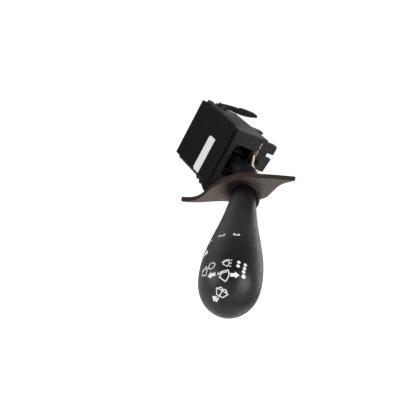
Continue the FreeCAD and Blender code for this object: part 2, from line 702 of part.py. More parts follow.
def make_strips():
    """Two copper bars seated in the carrier, bare in the bay beside the mouth."""
    return [block((CASE_LENGTH - STRIP_LENGTH, BODY_BACK_Y, low),
                  (CASE_LENGTH - STRIP_THICKNESS, BODY_BACK_Y + STRIP_THICKNESS, high))
            for low, high in strip_spans()]


def lead_route():
    """The lead's points, the first ones round the peg and the last ones beside the plug."""
    peg = V(CASE_LENGTH, PEG_Y, PEG_Z)
    corner = V(shroud_span()[1] + SHROUD_WALL, CARRIER_BACK_Y + SHROUD_DEPTH, SHROUD_HIGH_Z)
    return [peg + V(*offset) for offset in LEAD_FROM_PEG] + [corner + V(*offset) for offset in LEAD_FROM_PLUG]


def make_lead():
    """Insulated lead: straight runs joined by tangent arcs."""
    points = lead_route()
    edges = []
    radii = []
    start = points[0]
    for before, corner, after in zip(points, points[1:], points[2:]):
        to_back = (before - corner).normalize()
        to_front = (after - corner).normalize()
        half_turn = (math.pi - to_back.getAngle(to_front)) / 2
        reach = LEAD_ARC_SHARE * min((before - corner).Length, (after - corner).Length)
        radii.append(reach / math.tan(half_turn))
        arc_start = corner + to_back * reach
        arc_end = corner + to_front * reach
        to_middle = (to_back + to_front).normalize()
        middle = corner + to_middle * (math.hypot(radii[-1], reach) - radii[-1])
        edges.append(Part.makeLine(start, arc_start))
        edges.append(Part.Arc(arc_start, middle, arc_end).toShape())
        start = arc_end
    edges.append(Part.makeLine(start, points[-1]))
    path = Part.Wire(edges)
    section = Part.Wire(Part.makeCircle(LEAD_RADIUS, points[0], points[1] - points[0]))
    lead = path.makePipeShell([section], True, False)
    plain_volume = math.pi * LEAD_RADIUS ** 2 * path.Length
    print("lead radii", [round(radius, 1) for radius in radii],
          "volume over section times length", round(lead.Volume / plain_volume, 3))
    return lead


def make_latch():
    """Springy release latch: a bowed arm with a stepped back and a rounded tip, on two trunnions."""
    root = V(0, LATCH_ROOT_Y, LATCH_ROOT_Z)

    def at(place):
        return root + V(0, *place)

    root_top = root + V(0, 0, LATCH_ROOT_RADIUS)
    step = at(LATCH_PEAK) + V(0, 0, LATCH_STEP)
    edges = [
        Part.Arc(root_top, at(LATCH_BACK), at(LATCH_PEAK)).toShape(),
        Part.makeLine(at(LATCH_PEAK), step),
        Part.Arc(step, at(LATCH_FALL), at(LATCH_TIP_TOP)).toShape(),
        Part.Arc(at(LATCH_TIP_TOP), at(LATCH_TIP_END), at(LATCH_TIP_LOW)).toShape(),
        Part.Arc(at(LATCH_TIP_LOW), at(LATCH_BELLY), at(LATCH_WAIST)).toShape(),
        Part.makeLine(at(LATCH_WAIST), at(LATCH_ROOT_LOW)),
        Part.makeLine(at(LATCH_ROOT_LOW), root_top),
    ]
    arm = Part.Face(Part.Wire(edges)).extrude(V(LATCH_WIDTH, 0, 0))
    arm.translate(V(LATCH_X - LATCH_WIDTH / 2, 0, 0))
    hub = rod((LATCH_X - LATCH_WIDTH / 2, LATCH_ROOT_Y, LATCH_ROOT_Z), X_AXIS,
              LATCH_ROOT_RADIUS, LATCH_WIDTH)
    trunnion = rod((LATCH_X - LATCH_OUTER, LATCH_ROOT_Y, LATCH_ROOT_Z), X_AXIS,
                   LATCH_PIN_RADIUS, 2 * LATCH_OUTER)
    return joined(arm, hub, trunnion)


def tail_outline():
    """The tail's corners, from the yoke's rear to its tip."""
    root_x = PIVOT_X - YOKE_REAR + SINK
    tip_x = PIVOT_X - TAIL_REACH
    return [V(tip_x, -TAIL_TIP_WIDTH / 2, 0), V(root_x, -TAIL_ROOT_WIDTH / 2, 0),
            V(root_x, TAIL_ROOT_WIDTH / 2, 0), V(tip_x, TAIL_TIP_WIDTH / 2, 0)]


def make_yoke():
    """Swing frame round the lever's root, with trunnions above and below and a detent tail."""
    half = YOKE_WIDTH / 2
    frame = block((PIVOT_X - YOKE_REAR, -half, YOKE_BOTTOM), (PIVOT_X + YOKE_FRONT, half, YOKE_TOP))
    uprights = [edge for edge in frame.Edges if abs(edge.Length - YOKE_HEIGHT) < 0.01]
    frame = frame.makeFillet(YOKE_WALL, uprights)
    corners = tail_outline()
    tail = Part.Face(Part.makePolygon(corners + corners[:1])).extrude(V(0, 0, TAIL_HEIGHT))
    tail.translate(V(0, 0, PIVOT_Z - TAIL_HEIGHT / 2))
    pin_low = SLIDER_LOW_Z + SLIDER_FLOOR + END_PLAY
    drive_pin = rod((DRIVE_X, 0, pin_low), Z_AXIS, DRIVE_PIN_RADIUS, PIVOT_Z - pin_low)
    upper = rod((PIVOT_X, 0, YOKE_TOP - SINK), Z_AXIS, TRUNNION_RADIUS, TRUNNION_TOP - YOKE_TOP + SINK)
    lower = rod((PIVOT_X, 0, TRUNNION_BOTTOM), Z_AXIS, TRUNNION_RADIUS, YOKE_BOTTOM + SINK - TRUNNION_BOTTOM)
    yoke = joined(frame, tail, drive_pin, upper, lower)
    slot_half = CORE_BAR_WIDTH / 2 + CORE_SIDE_CLEARANCE
    slot = block((PIVOT_X - YOKE_REAR + YOKE_WEB, -slot_half, YOKE_BOTTOM + YOKE_WALL),
                 (PIVOT_X + YOKE_FRONT + OVERCUT, slot_half, YOKE_TOP - YOKE_WALL))
    bore = rod((PIVOT_X - TAIL_REACH - OVERCUT, 0, PIVOT_Z), X_AXIS, PLUNGER_RADIUS + BEARING_CLEARANCE,
               PLUNGER_LENGTH + PLUNGER_ROOM + OVERCUT)
    pin_hole = rod((PIVOT_X, -half, PIVOT_Z), Y_AXIS, PULL_PIN_RADIUS, YOKE_WIDTH)
    return yoke.cut([slot, bore, pin_hole])


def make_pull_pin():
    return rod((PIVOT_X, -YOKE_WIDTH / 2, PIVOT_Z), Y_AXIS, PULL_PIN_RADIUS, YOKE_WIDTH)


def make_plunger():
    """Round-nosed detent plunger; its nose stands just clear of the detent track."""
    nose = DETENT_RADIUS - PLUNGER_STANDOFF
    shank_start = PIVOT_X - nose + PLUNGER_RADIUS
    shank_end = PIVOT_X - TAIL_REACH + PLUNGER_LENGTH
    shank = rod((shank_start, 0, PIVOT_Z), X_AXIS, PLUNGER_RADIUS, shank_end - shank_start)
    return joined(shank, Part.makeSphere(PLUNGER_RADIUS, V(shank_start, 0, PIVOT_Z)))


def coil(start, direction, radius, wire, length, turns):
    """A helical spring whose turns fill the given length."""
    pitch = (length - wire) / turns
    helix = Part.makeHelix(pitch, length - wire, radius)
    section = Part.Wire(Part.makeCircle(wire / 2, V(radius, 0, 0), Y_AXIS))
    spring = Part.Wire(helix.Edges).makePipeShell([section], True, True)
    spring.translate(V(0, 0, wire / 2))
    turn = FreeCAD.Rotation(Z_AXIS, direction)
    spring.transformShape(FreeCAD.Placement(V(*start), turn).toMatrix())
    return spring


def make_detent_spring():
    start = PIVOT_X - TAIL_REACH + PLUNGER_LENGTH
    return coil((start, 0, PIVOT_Z), X_AXIS, PLUNGER_RADIUS - SPRING_WIRE, SPRING_WIRE, PLUNGER_ROOM,
                DETENT_SPRING_TURNS)


def make_return_spring():
    """Coil between the yoke's floor and the underside of the lever's thin tail."""
    low = YOKE_BOTTOM + YOKE_WALL
    return coil((PIVOT_X - RETURN_SPRING_ARM, 0, low), Z_AXIS, RETURN_SPRING_RADIUS, SPRING_WIRE,
                PIVOT_Z - low, RETURN_SPRING_TURNS)


def make_detent_track():
    """Block on the rear wall with a hollow face and one notch for each lever position."""
    last = math.radians(DETENT_LAST * DETENT_STEP)
    low_y = LAST_SIDE_Y - DETENT_LOW_EDGE
    high_y = -DETENT_RADIUS * math.sin(math.radians(DETENT_FIRST * DETENT_STEP)) + DETENT_HIGH_EDGE
    front = PIVOT_X - DETENT_RADIUS * math.cos(last) + DETENT_RIM
    track = block((CASE_WALL, low_y, PIVOT_Z - DETENT_HEIGHT / 2),
                  (front, high_y, PIVOT_Z + DETENT_HEIGHT / 2))
    start_z = PIVOT_Z - DETENT_HEIGHT
    cuts = [rod((PIVOT_X, 0, start_z), Z_AXIS, DETENT_RADIUS, 2 * DETENT_HEIGHT)]
    for position in range(DETENT_FIRST, DETENT_LAST + 1):
        angle = math.radians(position * DETENT_STEP)
        place = (PIVOT_X - DETENT_RADIUS * math.cos(angle), -DETENT_RADIUS * math.sin(angle), start_z)
        cuts.append(rod(place, Z_AXIS, DETENT_NOTCH_RADIUS, 2 * DETENT_HEIGHT))
    return track.cut(cuts)


def make_board():
    board = block((CASE_WALL + BOARD_END_GAP, COVER_LIP_END + COVER_GAP, CAVITY_BOTTOM),
                  (CASE_LENGTH - CASE_WALL - BOARD_END_GAP, CAVITY_BACK_Y, BOARD_TOP))
    hole = rod((PIVOT_X, 0, CAVITY_BOTTOM - OVERCUT), Z_AXIS, BOSS_RADIUS + END_PLAY,
               BOARD_THICKNESS + 2 * OVERCUT)
    return board.cut(hole)


def finger_places():
    """X places of the contact fingers, evenly spread under the slider."""
    first = DRIVE_X - FINGER_PITCH * (FINGER_COUNT - 1) / 2
    return [first + index * FINGER_PITCH for index in range(FINGER_COUNT)]


def make_tracks():
    return [block((x - TRACK_WIDTH / 2, RAIL_LOW_Y, BOARD_TOP),
                  (x + TRACK_WIDTH / 2, RAIL_HIGH_Y, BOARD_TOP + TRACK_THICKNESS))
            for x in finger_places()]


def make_slider():
    """Carriage moved by the yoke's drive pin; its side tongues run in the rails."""
    half_x, half_y = SLIDER_LENGTH / 2, SLIDER_WIDTH / 2
    body = block((DRIVE_X - half_x, -half_y, SLIDER_LOW_Z), (DRIVE_X + half_x, half_y, SLIDER_HIGH_Z))
    tongue = block((DRIVE_X - half_x - TONGUE_REACH, -half_y, SLIDER_LOW_Z),
                   (DRIVE_X + half_x + TONGUE_REACH, half_y, SLIDER_LOW_Z + TONGUE_HEIGHT))
    pin_room = DRIVE_PIN_RADIUS + DRIVE_PIN_CLEARANCE
    slot = block((DRIVE_X - pin_room, -pin_room, SLIDER_LOW_Z + SLIDER_FLOOR),
                 (DRIVE_X + 2 * pin_room, pin_room, SLIDER_HIGH_Z + OVERCUT))
    return joined(body, tongue).cut(slot)


def make_fingers():
    """Brass leaves under the slider; their tips ride just above the tracks."""
    fingers = []
    half = TRACK_WIDTH / 2 - END_PLAY
    root_end = FINGER_ROOT / 2
    top = SLIDER_LOW_Z - FINGER_THICKNESS
    low = BOARD_TOP + TRACK_THICKNESS + BEARING_CLEARANCE
    knee = FINGER_REACH - FINGER_FLAT
    high = low + FINGER_THICKNESS
    outline = [(-root_end, SLIDER_LOW_Z), (-root_end, top), (-knee, low), (-FINGER_REACH, low),
               (-FINGER_REACH, high), (-knee - FINGER_THICKNESS / 2, high)]
    for x in finger_places():
        root = block((x - half, -root_end, top), (x + half, root_end, SLIDER_LOW_Z))
        points = [V(x - half, y, z) for y, z in outline]
        leaf = Part.Face(Part.makePolygon(points + points[:1])).extrude(V(2 * half, 0, 0))
        fingers.append(joined(root, leaf))
    return fingers


def make_rails():
    """Two grooved rails on the contact board."""
    inner = SLIDER_LENGTH / 2 + SLIDE_CLEARANCE
    tongue_end = inner + TONGUE_REACH
    rails = []
    for side in (-1, 1):
        near, far = sorted((DRIVE_X + side * inner, DRIVE_X + side * (inner + RAIL_WIDTH)))
        rail = block((near, RAIL_LOW_Y, BOARD_TOP), (far, RAIL_HIGH_Y, SLIDER_HIGH_Z - YOKE_SLIDER_GAP))
        near, far = sorted((DRIVE_X + side * (inner - SLIDE_CLEARANCE), DRIVE_X + side * tongue_end))
        groove = block((near, RAIL_LOW_Y - OVERCUT, SLIDER_LOW_Z - SLIDE_CLEARANCE),
                       (far, RAIL_HIGH_Y + OVERCUT, SLIDER_LOW_Z + TONGUE_HEIGHT + SLIDE_CLEARANCE))
        rails.append(rail.cut(groove))
    return rails


def make_core():
    """Cranked stem: flat bar in the yoke, round root through the mouth, elbow, tube to the bulb."""
    half_w, half_h = CORE_BAR_WIDTH / 2, CORE_BAR_HEIGHT / 2
    root_start = PIVOT_X + YOKE_FRONT + ROOT_STANDOFF
    bar = block((PIVOT_X - PULL_PIN_RADIUS - CORE_EYE_WALL, -half_w, PIVOT_Z - half_h),
                (root_start + SINK, half_w, PIVOT_Z + half_h))
    thin_tail = block((PIVOT_X - CORE_BAR_TAIL, -half_w, PIVOT_Z), (PIVOT_X, half_w, PIVOT_Z + half_h))
    straight = rod((root_start, 0, PIVOT_Z), X_AXIS, ROOT_RADIUS, CASE_WALL)
    cone_start = root_start + CASE_WALL
    cone = Part.makeCone(ROOT_RADIUS, NECK_RADIUS, ELBOW_X - cone_start, V(cone_start, 0, PIVOT_Z), X_AXIS)
    elbow = Part.makeSphere(NECK_RADIUS, V(ELBOW_X, 0, PIVOT_Z))
    neck = on_lever(rod((0, 0, 0), Z_AXIS, NECK_RADIUS, SHELL_START))
    spigot = on_lever(rod((0, 0, SHELL_START - SINK), Z_AXIS, NECK_RADIUS - SHELL_WALL - SPIGOT_CLEARANCE,
                          SPIGOT_LENGTH + SINK))
    tube = on_lever(rod((0, 0, SHELL_START), Z_AXIS, CORE_TUBE_RADIUS, CORE_END - SHELL_START))
    bore = on_lever(rod((0, 0, SHELL_START), Z_AXIS, CORE_BORE_RADIUS, CORE_END))
    pin_hole = rod((PIVOT_X, -half_w - OVERCUT, PIVOT_Z), Y_AXIS, PULL_PIN_RADIUS + BEARING_CLEARANCE,
                   CORE_BAR_WIDTH + 2 * OVERCUT)
    core = joined(bar, thin_tail, straight, cone, elbow, neck, spigot, tube)
    return core.cut(bore).cut(pin_hole)


def make_shell():
    """Neck and first part of the bulb, hollow, slipped over the stem's spigot."""
    outer = lever_form().common(slab(SHELL_START, RING_START - RING_GAP))
    inner = lever_form(SHELL_WALL).common(slab(SHELL_START - OVERCUT, RING_START))
    return on_lever(outer.cut(inner))


def make_hub():
    """Drum that carries the ring, open at the cap end for the ring's lug."""
    radius = RING_BORE_RADIUS - RING_CLEARANCE
    low = RING_START - HUB_TAIL
    high = RING_START + RING_LENGTH + HUB_TAIL
    web_top = low + HUB_WEB
    drum = turned([(CORE_TUBE_RADIUS, low), (radius, low), (radius, high), (radius - HUB_WALL, high),
                   (radius - HUB_WALL, web_top), (CORE_TUBE_RADIUS, web_top)])
    window_low = web_top + WAFER_THICKNESS + HUB_RIM
    window_high = high + OVERCUT
    near, far = radius - HUB_WALL - OVERCUT, radius + OVERCUT
    window = turned([(near, window_low), (far, window_low), (far, window_high), (near, window_high)],
                    RING_TRAVEL + LUG_ANGLE + 2 * HUB_WINDOW_PLAY)
    window.rotate(V(), Z_AXIS, LUG_START_ANGLE - RING_TRAVEL - HUB_WINDOW_PLAY)
    return on_lever(drum.cut(window))


def make_ring():
    """Delay ring, turned to the bulb's outline, with a lug that reaches into the hub."""
    low, high = RING_START, RING_START + RING_LENGTH
    bore = rod((0, 0, low - OVERCUT), Z_AXIS, RING_BORE_RADIUS, RING_LENGTH + 2 * OVERCUT)
    ring = lever_form().common(slab(low, high)).cut(bore)
    lug_low = low + LUG_HEIGHT
    inner, outer = RING_BORE_RADIUS - LUG_REACH, RING_BORE_RADIUS + SINK
    lug = turned([(inner, lug_low), (outer, lug_low), (outer, lug_low + LUG_HEIGHT),
                  (inner, lug_low + LUG_HEIGHT)], LUG_ANGLE)
    lug.rotate(V(), Z_AXIS, LUG_START_ANGLE)
    return on_lever(joined(ring, lug))


def make_wafer():
    """Round resistor board seated on the hub's web."""
    low = RING_START - HUB_TAIL + HUB_WEB
    high = low + WAFER_THICKNESS
    inner = CORE_TUBE_RADIUS + WAFER_BORE_GAP
    outer = RING_BORE_RADIUS - RING_CLEARANCE - HUB_WALL
    return on_lever(turned([(inner, low), (outer, low), (outer, high), (inner, high)]))


def make_ring_wiper():
    """Brass leaf under the ring's lug, its tip just above the wafer."""
    low = RING_START - HUB_TAIL + HUB_WEB + WAFER_THICKNESS + BEARING_CLEARANCE
    high = RING_START + LUG_HEIGHT
    inner = RING_BORE_RADIUS - LUG_REACH + WIPER_INSET
    outer = inner + WIPER_WIDTH
    leaf = turned([(inner, low), (outer, low), (outer, high), (inner, high)], LUG_ANGLE / 3)
    leaf.rotate(V(), Z_AXIS, LUG_START_ANGLE + LUG_ANGLE / 3)
    return on_lever(leaf)


def make_cap():
    """Domed end cap with a stem that grips the lever's tube."""
    start = RING_START + RING_LENGTH + RING_GAP
    outer = lever_form().common(slab(start, LEVER_LENGTH + OVERCUT))
    inner = lever_form(CAP_WALL).common(slab(start - OVERCUT, LEVER_LENGTH))
    shell = outer.cut(inner)
    stem_low = CORE_END - CAP_GRIP
    stem_radius = CORE_TUBE_RADIUS + SPIGOT_CLEARANCE
    stem = rod((0, 0, stem_low), Z_AXIS, stem_radius + CAP_STEM_WALL, LEVER_LENGTH - stem_low)
    bore = rod((0, 0, stem_low - OVERCUT), Z_AXIS, stem_radius, CAP_GRIP + 2 * OVERCUT)
    return on_lever(joined(shell, stem.common(lever_form(CAP_WALL / 2)).cut(bore)))


def make_leads():
    """Thin leads that run up the stem's bore."""
    offset = CORE_BORE_RADIUS - FEED_RADIUS
    leads = []
    for index in range(FEED_COUNT):
        angle = math.radians((index - (FEED_COUNT - 1) / 2) * FEED_ANGLE)
        start = (offset * math.sin(angle), -offset * math.cos(angle), SHELL_START + FEED_END_GAP)
        leads.append(on_lever(rod(start, Z_AXIS, FEED_RADIUS, CORE_END - SHELL_START - 2 * FEED_END_GAP)))
    return leads


def make_wash_bridge():
    """Contact plate under the lever's thin tail."""
    start = PIVOT_X - CORE_BAR_TAIL + BRIDGE_EDGE / 2
    half = CORE_BAR_WIDTH / 2 - BRIDGE_EDGE
    return block((start, -half, PIVOT_Z - FINGER_THICKNESS), (start + BRIDGE_LENGTH, half, PIVOT_Z))


def make_wash_contacts():
    """Two posts on the yoke's floor that the bridge meets when the lever is pulled."""
    start = PIVOT_X - CORE_BAR_TAIL + BRIDGE_EDGE
    drop = CORE_BAR_TAIL * math.sin(math.radians(PULL_TRAVEL)) + FINGER_THICKNESS + WASH_GAP
    half = WASH_POST_WIDTH / 2
    return [block((start, y - half, YOKE_BOTTOM + YOKE_WALL),
                  (start + WASH_POST_LENGTH, y + half, PIVOT_Z - drop))
            for y in (-WASH_POST_Y, WASH_POST_Y)]


def pad_side(shares):
    """One S-shaped side of the pad, with its two ends."""
    points = [V(along * PAD_HALF_LENGTH, across * PAD_HALF_WIDTH, 0) for along, across in shares]
    curve = Part.BSplineCurve()
    curve.interpolate(points)
    return curve.toShape(), points[0], points[-1]


def make_pad():
    """Foam pad round the neck: a slanted sheet with two straight and two S-shaped sides."""
    left, low_left, high_left = pad_side(PAD_LEFT_SHARES)
    right, high_right, low_right = pad_side(PAD_RIGHT_SHARES)
    upper, lower = Part.makeLine(high_left, high_right), Part.makeLine(low_right, low_left)
    outline = Part.Wire([left, upper, right, lower])
    sheet = Part.Face(outline).extrude(V(0, 0, -PAD_THICKNESS))
    radius = radius_at(PAD_AT) + PAD_HOLE_CLEARANCE
    low = -PAD_THICKNESS - OVERCUT
    depth = PAD_THICKNESS + 2 * OVERCUT
    hole = rod((0, 0, low), Z_AXIS, radius / math.cos(math.radians(PAD_TILT)), depth)
    wider = rod((PAD_HOLE_OFFSET, 0, low), Z_AXIS, radius - 2 * PAD_HOLE_CLEARANCE, depth)
    sheet = sheet.cut(hole.fuse(wider))
    sheet.rotate(V(), X_AXIS, PAD_TILT)
    sheet.translate(V(0, 0, PAD_AT))
    return on_lever(sheet)


def main():
    export("case", make_case())
    export("side_cover", make_side_cover())
    export("label_strip", make_label_strip())
    export("connector_carrier", make_carrier())
    export("terminal_blades", *make_blades())
    export("bus_bars", *make_strips())
    export("cream_lead", make_lead())
    export("release_latch", make_latch())
    export("swing_yoke", make_yoke())
    export("pull_pin", make_pull_pin())
    export("return_spring", make_return_spring())
    export("wash_contacts", *make_wash_contacts())
    export("detent_plunger", make_plunger())
    export("detent_spring", make_detent_spring())
    export("detent_track", make_detent_track())
    export("contact_board", make_board())
    export("contact_tracks", *make_tracks())
    export("slider_rails", *make_rails())
    export("contact_slider", make_slider())
    export("contact_fingers", *make_fingers())
    export("lever_core", make_core())
    export("lever_shell", make_shell())
    export("foam_pad", make_pad())
    export("ring_hub", make_hub())
    export("delay_wafer", make_wafer())
    export("delay_ring", make_ring())
    export("ring_wiper", make_ring_wiper())
    export("end_cap", make_cap())
    export("lever_leads", *make_leads())
    export("wash_bridge", make_wash_bridge())


main()
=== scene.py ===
"""Looks of the steering-column stalk switch: finishes, printed symbols, foam pad and stage.

The frame gives every rigid piece in place, in metres. X runs from the housing's rear face towards
the lever, Y from the side cover towards the connector, Z up. Sizes below are millimetres unless a
comment says otherwise, and MM turns them into metres.
"""
import json
import math

import bmesh
import bpy
import numpy as np
from bpy.props import FloatProperty, FloatVectorProperty, PointerProperty
from mathutils import Matrix, Vector
from mathutils.bvhtree import BVHTree


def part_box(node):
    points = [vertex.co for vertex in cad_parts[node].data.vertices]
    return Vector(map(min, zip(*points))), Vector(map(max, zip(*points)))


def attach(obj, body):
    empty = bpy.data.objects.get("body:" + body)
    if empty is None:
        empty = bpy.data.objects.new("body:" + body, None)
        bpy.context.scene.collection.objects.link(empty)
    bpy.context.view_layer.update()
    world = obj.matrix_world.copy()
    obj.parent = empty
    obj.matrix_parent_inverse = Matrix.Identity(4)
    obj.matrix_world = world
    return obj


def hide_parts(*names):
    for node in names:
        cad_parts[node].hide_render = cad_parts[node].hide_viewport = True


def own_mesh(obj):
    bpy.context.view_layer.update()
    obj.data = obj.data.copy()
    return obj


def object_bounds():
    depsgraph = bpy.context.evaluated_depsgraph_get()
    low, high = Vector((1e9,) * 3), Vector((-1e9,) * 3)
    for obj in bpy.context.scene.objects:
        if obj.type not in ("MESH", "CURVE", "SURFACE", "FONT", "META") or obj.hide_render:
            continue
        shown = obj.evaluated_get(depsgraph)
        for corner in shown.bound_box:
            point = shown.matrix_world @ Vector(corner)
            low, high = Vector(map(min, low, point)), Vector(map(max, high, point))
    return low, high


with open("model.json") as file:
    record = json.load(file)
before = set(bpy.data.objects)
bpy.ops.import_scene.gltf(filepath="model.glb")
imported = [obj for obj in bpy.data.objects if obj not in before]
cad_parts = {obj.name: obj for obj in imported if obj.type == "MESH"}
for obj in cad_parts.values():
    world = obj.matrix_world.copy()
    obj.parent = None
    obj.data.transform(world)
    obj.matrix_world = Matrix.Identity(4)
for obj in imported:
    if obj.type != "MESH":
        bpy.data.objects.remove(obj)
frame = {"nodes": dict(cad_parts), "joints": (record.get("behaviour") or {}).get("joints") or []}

bl_info = {
    "name": "Stalk switch looks",
    "version": (1, 0, 0),
    "blender": (4, 5, 0),
    "location": "View3D > Sidebar > Stalk Switch",
    "description": "Finishes, printed symbols, foam pad and stage for a column stalk switch",
    "category": "Object",
}

MM = 0.001
UPWARD = (0, 0, 1)
NODES = frame["nodes"]
JOINTS = {joint["name"]: joint for joint in frame["joints"]}
CAD_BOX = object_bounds()

# The lever's axis runs through the elbow, and its printed side is rolled towards the driver
ELBOW = Vector(JOINTS["delay"]["pos_m"])
ALONG = -Vector(JOINTS["delay"]["axis"]).normalized()
LEVER_ROLL = math.radians(20.5)
LEVEL = Vector(UPWARD).cross(ALONG).normalized()
ACROSS = Matrix.Rotation(LEVER_ROLL, 3, ALONG) @ LEVEL
FACING = ALONG.cross(ACROSS)


# Settings


def srgb(red, green, blue):
    """A display colour, 0 to 255, as the linear colour that the shaders take."""
    shares = [value / 255 for value in (red, green, blue)]
    return tuple(s / 12.92 if s <= 0.04045 else ((s + 0.055) / 1.055) ** 2.4 for s in shares)


def colour_setting(name, description, red, green, blue):
    """A colour that a user can change, given by its display values."""
    return FloatVectorProperty(name=name, description=description, subtype="COLOR", size=3,
                               min=0.0, max=1.0, default=srgb(red, green, blue))


def size_setting(name, description, default, least, most):
    """A length that a user can change, given in millimetres."""
    return FloatProperty(name=name, description=description, unit="LENGTH",
                         default=default * MM, min=least * MM, max=most * MM)


def strength_setting(name, description, default, most=1.0):
    """A strength or power that a user can change."""
    return FloatProperty(name=name, description=description, default=default, min=0.0, max=most)


class StalkFinishSettings(bpy.types.PropertyGroup):
    """Colours of the finishes."""

    housing: colour_setting("Housing", "Black moulded housing plastic", 18, 17, 17)
    cover: colour_setting("Cover", "Smooth black plastic of the side cover", 12, 12, 14)
    lever: colour_setting("Lever", "Satin near-black plastic of the lever", 14, 11, 15)
    inner: colour_setting("Inner plastic", "Natural glass-filled plastic of the mechanism", 168, 160, 142)
    label: colour_setting("Label", "Bare paper label", 238, 234, 231)
    foam: colour_setting("Foam", "Face of the foam pad", 118, 111, 107)
    foam_cut: colour_setting("Foam edge", "Cut edge of the foam pad", 56, 46, 41)
    # This colour paints dust and painted sheen on upper faces, and scuffs and painted highlights on edges
    dust_and_sheen: colour_setting("Dust", "Dust on upper faces and scuffs on edges", 118, 110, 104)
    copper: colour_setting("Copper", "Bare bus bars", 240, 208, 190)
    brass: colour_setting("Brass", "Contact brass", 206, 176, 104)
    steel: colour_setting("Steel", "Spring and pin steel", 176, 176, 178)
    lead: colour_setting("Lead", "Cream lead insulation", 234, 222, 202)
    board: colour_setting("Board", "Resin board under the contacts", 96, 72, 40)
    ink: colour_setting("Ink", "White pad-printed ink", 246, 247, 249)


class StalkPrintSettings(bpy.types.PropertyGroup):
    """Sizes of the printed symbols."""

    line: size_setting("Line", "Width of the symbols' lines", 0.44, 0.1, 1.0)
    digit_height: size_setting("Digit height", "Height of the delay digits", 2.55, 1.0, 5.0)
    lift: size_setting("Ink lift", "How far the ink stands above the plastic", 0.035, 0.01, 0.2)
    pitch: size_setting("Mesh pitch", "Cell size of the ink's mesh", 0.08, 0.03, 0.5)


class StalkPadSettings(bpy.types.PropertyGroup):
    """Sizes of the foam pad."""

    wave: size_setting("Wave", "How far the sheet waves out of flat", 0.6, 0.0, 3.0)
    lip: size_setting("Lip", "How far the hole's turned lip reaches along the neck", 9.3, 0.0, 20.0)


class StalkStageSettings(bpy.types.PropertyGroup):
    """Camera and light."""

    place: FloatVectorProperty(name="Camera place", description="Where the camera stands",
                               subtype="TRANSLATION", unit="LENGTH", size=3,
                               default=(0.3580, -0.2503, 0.0829))
    turn: FloatVectorProperty(name="Camera turn", description="Camera rotation", subtype="EULER",
                              unit="ROTATION", size=3,
                              default=[math.radians(a) for a in (72.262, -27.469, 60.476)])
    lens: FloatProperty(name="Lens", description="Focal length in millimetres", default=65.77,
                        min=20.0, max=200.0)
    ambient: strength_setting("Ambient", "Strength of the white surroundings", 0.6, most=2.0)
    mirrored: strength_setting("Mirrored white", "Strength of the surroundings in gloss", 0.6)
    overhead: strength_setting("Mirrored ceiling", "Strength of the ceiling in gloss", 0.15)
    front: strength_setting("Mirrored front", "Strength added in gloss in front of the lever", 0.6, most=2.0)
    floor_white: strength_setting("Floor white", "How much the floor glows in the camera's view", 0.85)
    top_power: strength_setting("Top lamp", "Power of the upper lamp in watts", 2.1, most=20.0)
    side_power: strength_setting("Side lamp", "Power of the cover side's lamp in watts", 1.7, most=20.0)
    rim_power: strength_setting("Rim lamp", "Power of the connector side's lamp in watts", 0.35, most=20.0)


SETTINGS = {
    "stalk_finish": StalkFinishSettings,
    "stalk_print": StalkPrintSettings,
    "stalk_pad": StalkPadSettings,
    "stalk_stage": StalkStageSettings,
}


# Nodes

# Upward turn of faces with dust and painted sheen, and turn of the rounded normal from the plain one at
# edges, as cosines
UPPER_FACES = (0.45, 0.9)
EDGE_TURN = (0.72, 0.995)

# Radii of rounded edges
PLASTIC_EDGE = 0.28
METAL_EDGE = 0.06


class Nodes:
    """A node tree, with short ways to add nodes and feed their inputs."""

    def __init__(self, tree):
        self.tree = tree

    def feed(self, socket, value):
        """Link a node's output to the socket, or give it a plain value."""
        if isinstance(value, bpy.types.NodeSocket):
            self.tree.links.new(value, socket)
        else:
            socket.default_value = (*value, 1) if socket.type == "RGBA" else value

    def add(self, kind, inputs=None, **options):
        """A new node, with its options set and its inputs fed."""
        node = self.tree.nodes.new(kind)
        for key, value in options.items():
            setattr(node, key, value)
        for key, value in (inputs or {}).items():
            self.feed(node.inputs[key], value)
        return node

    def spread(self, value, low=0.0, high=1.0, start=0.3, end=0.7):
        """The value's stretch from start to end, mapped to low to high."""
        limits = {"From Min": start, "From Max": end, "To Min": low, "To Max": high}
        return self.add("ShaderNodeMapRange", {"Value": value, **limits}).outputs["Result"]

    def blend(self, factor, first, second):
        """A colour between two colours or colour outputs."""
        inputs = {"Factor": factor, 6: first, 7: second}
        return self.add("ShaderNodeMix", inputs, data_type="RGBA").outputs[2]

    def mixed(self, factor, first, second):
        """A number between two numbers or outputs."""
        return self.add("ShaderNodeMix", {"Factor": factor, "A": first, "B": second}).outputs["Result"]

    def calculated(self, operation, first, second, kind="ShaderNodeMath"):
        return self.add(kind, {0: first, 1: second}, operation=operation).outputs["Value"]

    def dot(self, first, second):
        return self.calculated("DOT_PRODUCT", first, second, "ShaderNodeVectorMath")


